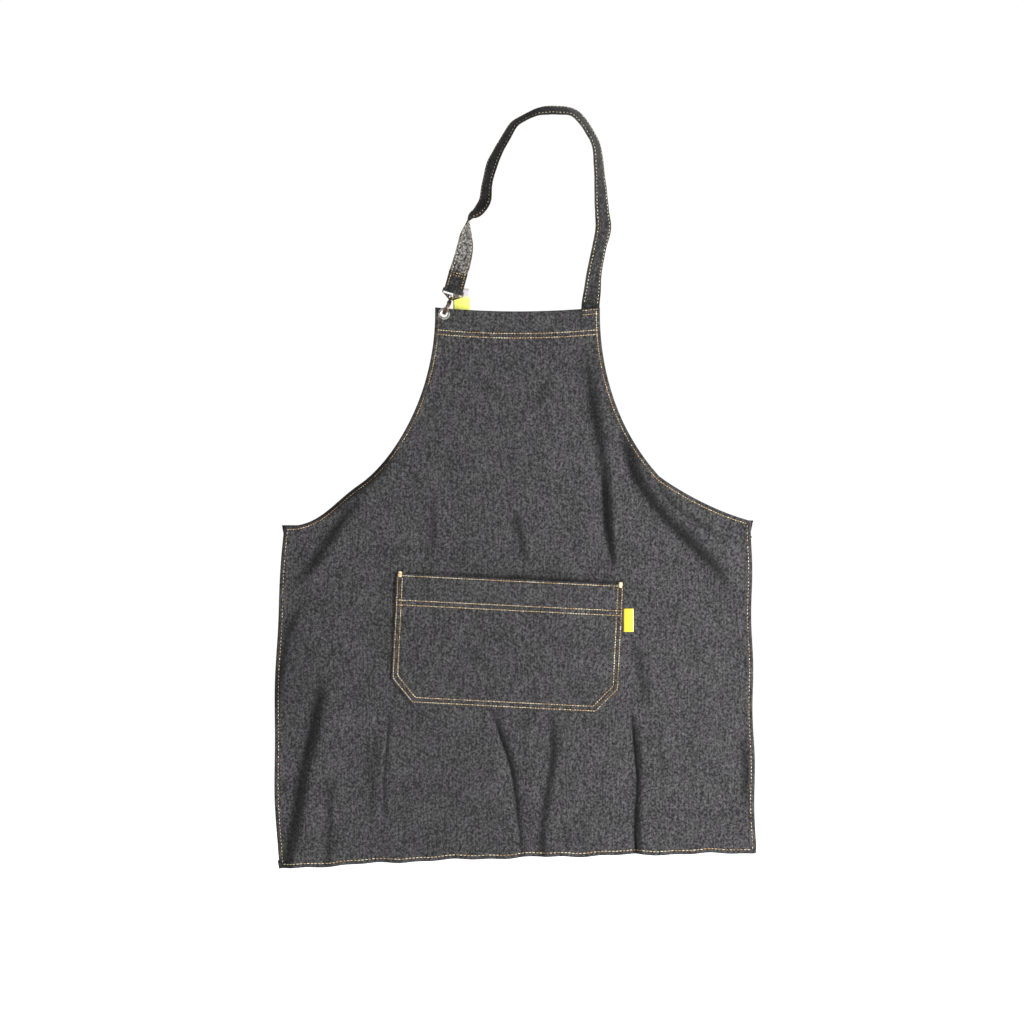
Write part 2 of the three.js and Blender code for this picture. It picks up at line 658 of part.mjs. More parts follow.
const tab = box(
  strapRootX - STRAP_WIDTH / 2, strapRootX + STRAP_WIDTH / 2,
  sewnFront, sewnFront + STRAP_THICKNESS, -TOP_HEM_DEPTH, bendZ + 0.5,
);
piece(apron, 'strap_root_tab', tab, denim);

const labelLeft = bibLeft + BIB_LABEL.inset;
const labelFront = hookY + BOSS.radius + 3 * GAP;
const labelFoot = bendZ + 4;
const bibLabel = box(
  labelLeft, labelLeft + BIB_LABEL.width, labelFront, labelFront + BIB_LABEL.thickness, labelFoot, BIB_LABEL.rise,
);
piece(apron, 'bib_label', bibLabel, lemonTape);

piece(apron, 'left_tie_tab', tieTab(waistLeft, -1), denim);
piece(apron, 'right_tie_tab', tieTab(waistRight, 1), denim);
piece(apron, 'left_waist_tie', waistTie(waistLeft, -1), denim);
piece(apron, 'right_waist_tie', waistTie(waistRight, 1), denim);
const bow = turned(apron, 0, bowY + 2, -BOW.drop, 0);
piece(bow, 'waist_bow', waistBow(), denim);

export default group;
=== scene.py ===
import json
import math
import random

import bpy
import numpy as np
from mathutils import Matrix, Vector, noise
from mathutils.geometry import delaunay_2d_cdt
from mathutils.kdtree import KDTree

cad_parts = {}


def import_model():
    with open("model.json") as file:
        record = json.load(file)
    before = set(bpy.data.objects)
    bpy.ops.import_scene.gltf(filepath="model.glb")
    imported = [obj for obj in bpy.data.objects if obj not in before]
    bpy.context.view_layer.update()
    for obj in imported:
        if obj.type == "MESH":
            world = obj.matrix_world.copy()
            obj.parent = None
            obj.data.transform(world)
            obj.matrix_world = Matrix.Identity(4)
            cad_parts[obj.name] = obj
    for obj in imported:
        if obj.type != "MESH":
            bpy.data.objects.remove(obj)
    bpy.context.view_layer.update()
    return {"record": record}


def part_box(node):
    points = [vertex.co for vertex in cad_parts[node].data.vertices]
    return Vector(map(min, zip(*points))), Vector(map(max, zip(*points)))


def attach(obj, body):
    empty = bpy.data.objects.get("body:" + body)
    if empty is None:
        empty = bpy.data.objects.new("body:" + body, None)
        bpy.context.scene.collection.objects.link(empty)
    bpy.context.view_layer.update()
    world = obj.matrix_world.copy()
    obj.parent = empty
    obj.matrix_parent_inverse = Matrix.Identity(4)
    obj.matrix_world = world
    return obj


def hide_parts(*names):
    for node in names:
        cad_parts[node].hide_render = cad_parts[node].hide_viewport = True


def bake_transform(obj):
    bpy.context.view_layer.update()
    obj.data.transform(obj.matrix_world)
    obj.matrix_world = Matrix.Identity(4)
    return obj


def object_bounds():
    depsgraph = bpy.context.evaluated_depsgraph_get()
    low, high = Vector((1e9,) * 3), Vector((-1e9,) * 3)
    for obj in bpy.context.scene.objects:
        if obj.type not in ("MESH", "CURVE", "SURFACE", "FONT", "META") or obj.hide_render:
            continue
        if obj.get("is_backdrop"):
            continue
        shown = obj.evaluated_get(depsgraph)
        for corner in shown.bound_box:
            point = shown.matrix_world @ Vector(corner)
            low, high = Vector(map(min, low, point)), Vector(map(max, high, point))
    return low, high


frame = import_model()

rng = random.Random(11)

# ---- Places and sizes, in millimetres from the middle of the bib's top edge ----

MM = 0.001
hem_low, hem_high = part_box("bib_top_hem")
BIB_X = (hem_low[0] + hem_high[0]) / 2 / MM
BIB_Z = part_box("body_panel")[1][2] / MM
BIB_WIDTH = (hem_high[0] - hem_low[0]) / MM
LOOP_RISE = -BIB_Z

BIB_DIP = 5.0
WAIST_WIDTH = 584.0
LEFT_WAIST_DROP = 273.0
RIGHT_WAIST_DROP = 267.0
HEM_WIDTH = 597.0
LEFT_LENGTH = 702.0
RIGHT_LENGTH = 683.0
SIDE_BOW = 8.0
BOTTOM_LIFT = 6.0
CLOTH = 1.2
TOP_HEM_DEPTH = 35.0
TOP_STITCHES = (27.8, 33.3)
EDGE_STITCH = 4.6

POCKET_WIDTH = 286.0
POCKET_HEIGHT = 162.0
POCKET_CHAMFER = (27.0, 30.0)
POCKET_TILT = math.radians(2.8)
POCKET_X = -9.0
POCKET_Z = -339.5
POCKET_BANDS = (33.0, 39.0)
POCKET_SEAMS = (2.6, 8.2)

STRAP_WIDTH = 23.0
STRAP_THICK = 2.3
STRAP_FOOT = (79.5, 101.5)
FOOT_STITCHES = (3.6, 9.0)
TIE_WIDTH = 24.0
TIE_THICK = 1.3
BOW_DROP = 455.0

LEFT_ARMHOLE = [[0, 0], [-0.01, 0.39], [0.27, 0.7], [0.5, 0.81], [0.69, 0.9], [0.77, 1.01], [1, 1]]
RIGHT_ARMHOLE = [[0, 0], [-0.01, 0.45], [0.28, 0.705], [0.39, 0.79], [0.53, 0.865], [0.78, 0.96], [1, 1]]


def world(points):
    """Apron millimetres to the row frame, in metres."""
    return (np.asarray(points, float) + np.array([BIB_X, 0, BIB_Z])) * MM


def smooth(low, high, value):
    """From 0 at low to 1 at high, with level ends."""
    t = np.clip((value - low) / (high - low), 0, 1)
    return t * t * (3 - 2 * t)


# ---- Lines ----

def unit(vectors):
    return vectors / np.linalg.norm(vectors, axis=1)[:, None]


def lengths(line):
    """The distance along a line at each of its points."""
    return np.concatenate([[0], np.cumsum(np.linalg.norm(np.diff(line, axis=0), axis=1))])


def bezier(p, steps=40):
    """The curve of three or four control points."""
    t = np.linspace(0, 1, steps)[:, None]
    p = np.asarray(p, float)
    if len(p) == 3:
        return (1 - t) ** 2 * p[0] + 2 * t * (1 - t) * p[1] + t * t * p[2]
    return (1 - t) ** 3 * p[0] + 3 * t * (1 - t) ** 2 * p[1] + 3 * t * t * (1 - t) * p[2] + t ** 3 * p[3]


def spaced(line, step, whole=round):
    """The line with points at equal distances, measured on its first three values, its ends kept."""
    line = np.asarray(line, float)
    along = lengths(line[:, :3])
    n = max(2, int(whole(along[-1] / step)) + 1)
    at = np.linspace(0, along[-1], n)
    return np.stack([np.interp(at, along, line[:, k]) for k in range(line.shape[1])], 1)


def trimmed(line, start, stop):
    """The line without its first and last stretch, given as lengths."""
    along = lengths(line)
    return line[(along >= start) & (along <= along[-1] - stop)]


def through(points, steps=8):
    """A smooth line through the points."""
    p = np.asarray(points, float)
    p = np.vstack([2 * p[0] - p[1], p, 2 * p[-1] - p[-2]])
    t = np.linspace(0, 1, steps, endpoint=False)[:, None]
    out = []
    for a, b, c, d in zip(p, p[1:], p[2:], p[3:]):
        square, cube = 2 * a - 5 * b + 4 * c - d, 3 * b - a - 3 * c + d
        out.append(0.5 * (2 * b + (c - a) * t + square * t ** 2 + cube * t ** 3))
    return np.vstack([*out, p[-2]])


def shifted(line, distance):
    """A line in the cloth's plane, moved to its left as the points run."""
    d = unit(np.gradient(line, axis=0))
    return line + distance * np.stack([-d[:, 1], d[:, 0]], 1)


def armhole(side, shares, drop):
    """One armhole from the bib's corner to the waist, from shares of its reach and drop."""
    reach = (WAIST_WIDTH - BIB_WIDTH) / 2
    at = [(side * (BIB_WIDTH / 2 + u * reach), -v * drop) for u, v in shares]
    return np.vstack([bezier(at[:4]), bezier(at[3:])[1:]])


def lerp(a, b, t, dx=0.0, dz=0.0):
    """A point between two others, moved aside."""
    return (a[0] + (b[0] - a[0]) * t + dx, a[1] + (b[1] - a[1]) * t + dz)


left_armhole = armhole(-1, LEFT_ARMHOLE, LEFT_WAIST_DROP)
right_armhole = armhole(1, RIGHT_ARMHOLE, RIGHT_WAIST_DROP)
hem_left = (-HEM_WIDTH / 2, -LEFT_LENGTH)
hem_right = (HEM_WIDTH / 2, -RIGHT_LENGTH)
waist_left, waist_right = left_armhole[-1], right_armhole[-1]
left_side = bezier([waist_left, lerp(waist_left, hem_left, 0.6, -2 * SIDE_BOW), hem_left])
right_side = bezier([waist_right, lerp(waist_right, hem_right, 0.5, -1.5), hem_right])
right_side[1:-1, 0] += 0.9 * np.sin(right_side[1:-1, 1] / 19)
left_side[1:-1, 0] += 0.7 * np.sin(left_side[1:-1, 1] / 23)
bottom_edge = bezier([hem_left, lerp(hem_left, hem_right, 0.33, 0, BOTTOM_LIFT),
                      lerp(hem_left, hem_right, 0.66, 0, BOTTOM_LIFT), hem_right], 120)
bottom_edge[1:-1, 1] += 0.9 * np.sin(bottom_edge[1:-1, 0] / 17) + 0.6 * np.sin(bottom_edge[1:-1, 0] / 7.3)
top_edge = bezier([(-BIB_WIDTH / 2, 0), (0, -2 * BIB_DIP), (BIB_WIDTH / 2, 0)])


def top_at(x):
    """The height of the bib's top edge."""
    return -BIB_DIP * (1 - (x / (BIB_WIDTH / 2)) ** 2)


def distance_to(samples):
    """A function that gives the distance from points (n, 2) to the nearest sample."""
    tree = KDTree(len(samples))
    for i, (x, z) in enumerate(samples):
        tree.insert((x, z, 0), i)
    tree.balance()
    return lambda p: np.array([tree.find((x, z, 0))[2] for x, z in p])


def nearest(line):
    """A function that gives the distance from points (n, 2) to a line."""
    return distance_to(spaced(line, 0.5))


from_edges = nearest(np.vstack([left_armhole, left_side[1:], bottom_edge[1:], right_side[::-1][1:],
                                right_armhole[::-1][1:]]))
eyelet_low, eyelet_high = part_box("eyelet_flange")
EYELET = np.array([(eyelet_low[k] + eyelet_high[k]) / 2 / MM - start for k, start in ((0, BIB_X), (2, BIB_Z))])
EYELET_HOLE = 5.4

# ---- How the cloth hangs ----

FOLD_GAIN = 1.25
NEAR_HEM = -660  # a fold that reaches below this runs out through the bottom edge
# Each fold: the line that it follows, its height, the width of its slope, how far it dies away,
# and its kind. A step rises to the right of the line, a ridge stands out on it and a crease sinks.
FOLDS = [
    ("bib, right", [(79, -40), (91, -91), (102, -147), (108, -191), (113, -235), (116, -278), (124, -338)],
     5.2, 8, 26, "step"),
    ("bib, right, lower", [(110, -205), (113, -240), (116, -285), (124, -338)], 2.2, 3.6, 10, "step"),
    ("right armhole", [(127, -140), (144, -191), (159, -222), (184, -259), (216, -291), (247, -322),
     (275, -362)], 8.5, 8.5, 26, "step"),
    ("right armhole, second", [(172, -212), (190, -236), (216, -260), (266, -291)], 3.4, 5, 13, "step"),
    ("left armhole", [(-150, -176), (-181, -213), (-209, -236), (-241, -260), (-288, -279)],
     5.5, 6.5, 17, "step"),
    ("left waist", [(-181, -222), (-216, -266), (-247, -310), (-282, -357)], 5.0, 8, 22, "step"),
    ("left side, upper", [(-262, -360), (-288, -416), (-297, -470), (-298, -525)], 3.8, 8, 15, "step"),
    ("left skirt", [(-240, -440), (-250, -510), (-262, -570), (-276, -640), (-286, -700)],
     7.0, 9.5, 26, "step"),
    ("left skirt, inner", [(-228, -580), (-232, -625), (-236, -695)], 2.4, 6, 14, "step"),
    ("pressed line", [(-160, -488), (-162, -510), (-164, -545), (-166, -595), (-168, -660)],
     1.9, 1.1, 9, "crease"),
    ("pressed line, its crown", [(-154, -488), (-157, -545), (-159, -595), (-161, -660)], 1.5, 3.0, 9, "ridge"),
    ("beside the pressed line", [(-176, -520), (-178, -575), (-181, -655)], 2.4, 9, 20, "step"),
    ("under the pocket", [(-32, -496), (-22, -535), (-9, -575), (-1, -612), (3, -668)], 3.0, 3.6, 10, "crease"),
    ("under the pocket, slope", [(-30, -500), (-20, -538), (-7, -580), (1, -640)], 2.4, 6, 15, "step"),
    ("beside it", [(6, -500), (7, -540), (8, -592)], 1.3, 2.6, 6, "crease"),
    ("middle skirt", [(43, -498), (46, -548), (41, -598), (31, -664)], 2.8, 5, 15, "step"),
    ("right skirt", [(143, -500), (147, -545), (149, -600), (149, -676)], 4.2, 3.2, 9, "crease"),
    ("right skirt, slope", [(142, -500), (147, -560), (149, -676)], 3.2, 4.5, 20, "step"),
    ("right skirt, outer", [(171, -505), (178, -560), (183, -604)], 1.7, 3.6, 10, "crease"),
    ("beside the pocket", [(147, -408), (156, -454), (169, -508)], 2.6, 8, 18, "step"),
    ("left of the bib", [(-108, -225), (-106, -255), (-104, -312)], 2.0, 7, 16, "step"),
    ("bib, middle", [(-4, -248), (2, -275), (13, -326)], 2.4, 6, 14, "step"),
    ("bib, small", [(44, -84), (34, -105), (20, -136)], 1.5, 5, 12, "step"),
    ("right side", [(281, -530), (284, -560), (288, -625)], 3.0, 6, 10, "step"),
]


def fold(x, z, line, height, width, reach, kind):
    """How far one fold lifts the cloth at each place."""
    line = through(line)[::-1]
    centre = np.interp(z, line[:, 1], line[:, 0]) + 1.2 * np.sin(z / 21 + height)
    slope = np.interp(z, line[:, 1], np.gradient(line[:, 0], line[:, 1]))
    away = (x - centre) / np.sqrt(1 + slope ** 2)
    low, high = line[0, 1], line[-1, 1]
    ease = 0.28 * (high - low)
    strength = smooth(low - 4, low + ease, z) * (1 - smooth(high - ease, high + 4, z))
    if low < NEAR_HEM:
        strength = 1 - smooth(high - ease, high + 4, z)
    if kind == "step":
        return height * strength * np.tanh(away / width) * np.exp(-np.abs(away) / reach)
    sharp = np.exp(-np.sqrt(away ** 2 + 0.6) / width)
    return (height if kind == "ridge" else -height) * strength * sharp


def from_eyelet(points):
    return np.hypot(*(points - EYELET).T)


def relief(points):
    """How far the cloth stands out towards the front at each point (n, 2)."""
    x, z = points[:, 0], points[:, 1]
    out = np.zeros(len(x))
    for _, *shape in FOLDS:
        out += FOLD_GAIN * fold(x, z, *shape)
    out += 2.2 * np.sin(x / 64 + 0.6) * smooth(-250, -560, z)
    out -= 3.2 * smooth(150, 300, x) * smooth(-280, -420, z)
    out += np.array([0.8 * noise.noise((a / 42, 0, b / 90)) + 0.3 * noise.noise((a / 14, 3, b / 24))
                     for a, b in points])
    calm = smooth(9, 34, from_eyelet(points)) * smooth(0, 60, top_at(x) - z)
    left, right = STRAP_FOOT
    strap = smooth(left - 1.5, left + 0.5, x) * (1 - smooth(right + 0.5, right + 1.5, x)) * (1 - smooth(32, 37, -z))
    return out * calm + 0.7 * strap


# Distance in from the edge, and how much thicker the cloth is there.
TOP_SWELL = ([0, 1, 2.5, 26, 27.8, 29.8, 31.8, 33.3, 35, 37], [0, 0.6, 0.9, 0.85, 0.35, 0.8, 0.8, 0.3, 0.6, 0])
EDGE_SWELL = ([0, 1, 2.3, 3.4, 4.6, 5.8, 7.4, 9, 10.5], [0, 0.7, 1.0, 0.9, 0.3, 0.75, 0.7, 0.2, 0])


def swell(points):
    """The turned-in cloth makes the edges thicker, and the stitching pulls it in."""
    x, z = points[:, 0], points[:, 1]
    edge = from_edges(points)
    below = top_at(x) - z
    out = np.maximum(np.interp(below, *TOP_SWELL), np.interp(edge, *EDGE_SWELL))
    rope = np.sin((x + z) * 0.72) * np.exp(-((edge - EDGE_STITCH) / 4.5) ** 2) * 0.22
    rope += np.sin((x * 0.8 + z * 0.5) * 0.8) * np.exp(-((below - 31) / 5) ** 2) * 0.14
    return (out + rope) * smooth(7.6, 11, from_eyelet(points))


def front_of(points):
    """The y of the cloth's face at each point (n, 2)."""
    points = np.asarray(points, float)
    return -CLOTH / 2 - relief(points) - swell(points)


def back_of(points):
    points = np.asarray(points, float)
    return CLOTH / 2 - relief(points)


def on(surface, line, proud=0.0):
    """A line in the cloth's plane laid on a surface."""
    return np.stack([line[:, 0], surface(line) + proud, line[:, 1]], 1)


# ---- Making meshes ----

def finished(name, verts, faces, materials, body=None, picks=None, uv=None, shade=None):
    """A smooth piece from its points in metres. uv and shade have one value for each point."""
    mesh = bpy.data.meshes.new(name)
    mesh.from_pydata(np.asarray(verts, float).tolist(), [], [list(map(int, f)) for f in faces])
    for material in materials:
        mesh.materials.append(material)
    if picks is not None:
        mesh.polygons.foreach_set("material_index", np.asarray(picks, np.int32))
    mesh.polygons.foreach_set("use_smooth", np.ones(len(mesh.polygons), bool))
    loops = np.zeros(len(mesh.loops), np.int32)
    mesh.loops.foreach_get("vertex_index", loops)
    if uv is not None:
        mesh.uv_layers.new(name="cloth").data.foreach_set("uv", np.asarray(uv, float)[loops].ravel())
    if shade is not None:
        mesh.attributes.new("shade", "FLOAT", "POINT").data.foreach_set("value", np.asarray(shade, np.float32))
    mesh.validate()
    mesh.update()
    piece = bpy.data.objects.new(name, mesh)
    bpy.context.scene.collection.objects.link(piece)
    if body:
        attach(piece, body)
    return piece


def inside(points, loop):
    """Which points (n, 2) lie inside a closed loop."""
    x, z = points[:, 0], points[:, 1]
    out = np.zeros(len(points), bool)
    for a, b in zip(loop, np.roll(loop, -1, axis=0)):
        crosses = (a[1] > z) != (b[1] > z)
        if crosses.any():
            out ^= crosses & (x < (b[0] - a[0]) * (z - a[1]) / (b[1] - a[1] + 1e-12) + a[0])
    return out


def triangles(loops, rows, spacing):
    """Points and triangles that fill the first loop and leave out the others, with the rows of points kept."""
    lo, hi = loops[0].min(0), loops[0].max(0)
    nx, nz = int((hi[0] - lo[0]) / spacing) + 2, int((hi[1] - lo[1]) / (spacing * 0.866)) + 2
    i, j = np.meshgrid(np.arange(nx), np.arange(nz), indexing="ij")
    grid = np.stack([lo[0] + (i + 0.5 * (j % 2)) * spacing, lo[1] + j * spacing * 0.866], -1).reshape(-1, 2)
    grid = grid[inside(grid, loops[0])]
    for hole in loops[1:]:
        grid = grid[~inside(grid, hole)]
    fixed = np.vstack([*loops, *rows])
    points = np.vstack([fixed, grid[distance_to(fixed)(grid) > 0.62 * spacing]])
    edges, start = [], 0
    for loop in loops:
        n = len(loop)
        edges += [(start + k, start + (k + 1) % n) for k in range(n)]
        start += n
    got, _, faces, *_ = delaunay_2d_cdt([Vector(p) for p in points], edges, [], 0, 1e-4)
    got = np.array([tuple(v) for v in got])
    faces = np.array(faces)
    middle = got[faces].mean(1)
    good = inside(middle, loops[0])
    for hole in loops[1:]:
        good &= ~inside(middle, hole)
    faces = faces[good]
    a, b, c = got[faces[:, 0]], got[faces[:, 1]], got[faces[:, 2]]
    area = (b[:, 0] - a[:, 0]) * (c[:, 1] - a[:, 1]) - (b[:, 1] - a[:, 1]) * (c[:, 0] - a[:, 0])
    faces[area < 0] = faces[area < 0][:, ::-1]
    faces = faces[np.abs(area) > 1e-5]
    used = np.unique(faces)
    renumber = np.full(len(got), -1)
    renumber[used] = np.arange(len(used))
    return got[used], renumber[faces]


def layer(name, loops, rows, spacing, front, back, materials, place=None, shade=None):
    """A piece of cloth with a face and a back, closed round its edges. front and back give y at (n, 2)."""
    flat, faces = triangles(loops, rows, spacing)
    at = place(flat) if place else flat
    n = len(flat)
    verts = np.vstack([np.stack([at[:, 0], side(flat), at[:, 1]], 1) for side in (front, back)])
    count = {}
    for f in faces:
        for a, b in zip(f, np.roll(f, -1)):
            count[(a, b)] = count.get((a, b), 0) + 1
    rim = [(a, b) for (a, b) in count if (b, a) not in count]
    every = [*faces.tolist(), *(faces[:, ::-1] + n).tolist(), *[(b, a, a + n, b + n) for a, b in rim]]
    picks = [0] * len(faces) + [min(1, len(materials) - 1)] * len(faces) + [0] * len(rim)
    uv = np.vstack([flat, flat + (1000, 0)]) * MM
    # Painted shade from the shade function, at 0.3 of its strength on the back.
    dark = shade(flat) if shade else np.zeros(n)
    return finished(name, world(verts), every, materials, "apron", picks, uv, np.concatenate([dark, dark * 0.3]))


def slab(x, y, z, half):
    """Two grids of points, one in front of the other."""
    return np.concatenate([np.stack([x, y + way * half, z], -1).reshape(-1, 3) for way in (-1, 1)])


def grid_faces(n, m):
    """Faces of a closed slab of two n by m grids, the first in front."""
    k = n * m
    faces = []
    for i in range(n - 1):
        for j in range(m - 1):
            a = i * m + j
            faces += [(a, a + 1, a + m + 1, a + m), (k + a, k + a + m, k + a + m + 1, k + a + 1)]
    for j, way in ((0, 1), (m - 1, -1)):
        for a in range(j, j + (n - 1) * m, m):
            faces.append((a, a + m, k + a + m, k + a)[::way])
    for i, way in ((0, -1), (n - 1, 1)):
        for a in range(i * m, i * m + m - 1):
            faces.append((a, a + 1, k + a + 1, k + a)[::way])
    return faces


def section(width, thickness, groove, steps=7, dip=0.3):
    """Half the outline of a tape, as (across, out) for its face, with a groove at each stitched edge."""
    middle = np.linspace(-0.28, 0.28, 6)[1:-1]
    s = np.concatenate([np.linspace(-0.5, -0.28, steps), middle, np.linspace(0.28, 0.5, steps)]) * width
    edge = width / 2 - np.abs(s)
    out = thickness / 2 * np.sqrt(np.clip(1 - (1 - np.clip(edge / (0.55 * thickness), 0, 1)) ** 2, 0, 1))
    return s, out - dip * np.exp(-((edge - groove) / 0.9) ** 2)


def curled(cup, across, width):
    """How far a cupped tape stands out at a place across its width."""
    return cup * ((across / (width / 2)) ** 2 - 0.35)


def lump(across, along):
    """The unevenness of a tape at a place on it, from -1 to 1."""
    return noise.noise((across / 9, along / 16, 7))


def tape(name, centre, wide, thick, width, thickness, materials, body="apron", cup=None, scale=None, groove=3.2,
         crumple=0.0):
    """A tape swept along a line. centre, wide and thick are (n, 3); its face is on the -thick side."""
    s, out = section(width, thickness, groove)
    m, n = len(s), len(centre)
    cup = np.zeros(n) if cup is None else cup
    scale = np.ones(n) if scale is None else scale
    along = lengths(centre)
    lumps = crumple * np.array([[lump(a, d) for a in s] for d in along])
    middle = centre[:, None] + (s * scale[:, None])[..., None] * wide[:, None]
    rise = curled(cup[:, None], s, width) + lumps
    verts = np.concatenate([(middle + (rise + way * out)[..., None] * thick[:, None]).reshape(-1, 3)
                            for way in (-1, 1)])
    flat = np.stack(np.meshgrid(s, along), -1).reshape(-1, 2)
    uv = np.concatenate([flat, flat + (500, 0)]) * MM
    faces, squares = grid_faces(n, m), (n - 1) * (m - 1)
    picks = [0, 1] * squares + [0] * (len(faces) - 2 * squares)
    piece = finished(name, world(verts), faces, materials, body, picks, uv, np.zeros(2 * n * m))
    piece["length"] = float(along[-1]) * MM
    return piece


# A stitch as rings along it: the place as a share of its half length, and the share of its full width.
CAPSULE = [(-1.0, 0.0), (-0.86, 0.62), (-0.35, 1.0), (0.35, 1.0), (0.86, 0.62), (1.0, 0.0)]


def stitching(name, runs, body="apron", pitch=3.3, length=2.55, width=0.85, height=0.6, tones=(0.3, 1.0)):
    """Stitches along lines. Each run is (line, out), where out is the direction that the stitches face."""
    verts, faces, shades = [], [], []
    sides = 6
    for line, out in runs:
        line = np.asarray(line, float)
        out = np.broadcast_to(np.asarray(out, float), line.shape)
        along = lengths(line)
        n = max(1, int((along[-1] - length) / pitch) + 1)
        start = (along[-1] - ((n - 1) * pitch + length)) / 2
        for k in range(n):
            a = start + k * pitch + rng.uniform(-0.12, 0.12)
            b = a + length * rng.uniform(0.9, 1.06)
            p, q, normal = (np.array([np.interp(v, along, arr[:, c]) for c in range(3)])
                            for v, arr in ((a, line), (b, line), ((a + b) / 2, out)))
            t = q - p
            half = np.linalg.norm(t) / 2
            if half < 0.2:
                continue
            t = t / (2 * half)
            side = np.cross(t, normal)
            side /= np.linalg.norm(side)
            up = np.cross(side, t)
            t = t + side * rng.uniform(-0.07, 0.07)
            middle = (p + q) / 2 + side * rng.uniform(-0.12, 0.12)
            base = len(verts)
            tone = rng.uniform(*tones)
            for x, r in CAPSULE:
                ring = 1 if r == 0 else sides
                for j in range(ring):
                    turn = 2 * math.pi * j / sides
                    verts.append(middle + t * x * half + side * (r * width / 2 * math.cos(turn))
                                 + up * (r * height / 2 * math.sin(turn) - 0.3 * x * x * height + 0.1))
                    shades.append(tone)
            first, rings = base, [base + 1 + sides * i for i in range(len(CAPSULE) - 2)]
            last = rings[-1] + sides
            for j in range(sides):
                j2 = (j + 1) % sides
                faces.append((first, rings[0] + j2, rings[0] + j))
                for r0, r1 in zip(rings, rings[1:]):
                    faces.append((r0 + j, r0 + j2, r1 + j2, r1 + j))
                faces.append((rings[-1] + j, rings[-1] + j2, last))
    return finished(name, world(verts), faces, [thread], body, shade=shades)


# ---- Node groups ----

class Graph:
    """Short ways to add and join nodes in a tree."""

    def __init__(self, tree):
        self.tree = tree

    def add(self, kind, values=None, **settings):
        node = self.tree.nodes.new("ShaderNode" + kind)
        for key, value in settings.items():
            setattr(node, key, value)
        for key, value in (values or {}).items():
            if hasattr(value, "is_output"):
                self.tree.links.new(value, node.inputs[key])
            else:
                node.inputs[key].default_value = value
        return node

    def math(self, operation, a, b=0.0, clamp=False):
        return self.add("Math", {0: a, 1: b}, operation=operation, use_clamp=clamp).outputs[0]

    def plus(self, a, b, clamp=False):
        return self.math("ADD", a, b, clamp)

    def times(self, a, b):
        return self.math("MULTIPLY", a, b)

    def centred(self, value, share=1.0):
        """A value from 0 to 1, moved to lie round 0 and scaled."""
        return self.times(self.math("SUBTRACT", value, 0.5), share)

    def mix(self, factor, a, b):
        return self.add("Mix", {0: factor, 6: a, 7: b}, data_type="RGBA").outputs[2]

    def ramp(self, value, low, high):
        return self.add("MapRange", {0: value, 1: low, 2: high}, interpolation_type="SMOOTHSTEP").outputs[0]

    def scaled(self, at, size, turn=0.0):
        return self.add("Mapping", {0: at, 2: (0, 0, turn), 3: size}).outputs[0]

    def noise(self, at, scale, detail, flat=False, rough=0.5):
        return self.add("TexNoise", {"Vector": at, "Scale": scale, "Detail": detail, "Roughness": rough},
                        noise_dimensions="2D" if flat else "3D").outputs[0]

    def wave(self, at, scale, distortion, way, **more):
        values = {"Vector": at, "Scale": scale, "Distortion": distortion, **more}
        return self.add("TexWave", values, bands_direction=way).outputs[1]

    def give(self, node, **values):
        for key, value in values.items():
            self.tree.links.new(value, node.inputs[key])


def new_group(name, **inputs):
    """A node group that gives a colour, a roughness and a height."""
    group = bpy.data.node_groups.new(name, "ShaderNodeTree")
    for title, value in inputs.items():
        kind = "Vector" if value is None else "Color" if isinstance(value, tuple) else "Float"
        socket = group.interface.new_socket(title, in_out="INPUT", socket_type="NodeSocket" + kind)
        if value is not None:
            socket.default_value = value
    for title, kind in (("Color", "Color"), ("Roughness", "Float"), ("Height", "Float")):
        group.interface.new_socket(title, in_out="OUTPUT", socket_type="NodeSocket" + kind)
    return group, Graph(group), group.nodes.new("NodeGroupInput").outputs, group.nodes.new("NodeGroupOutput")


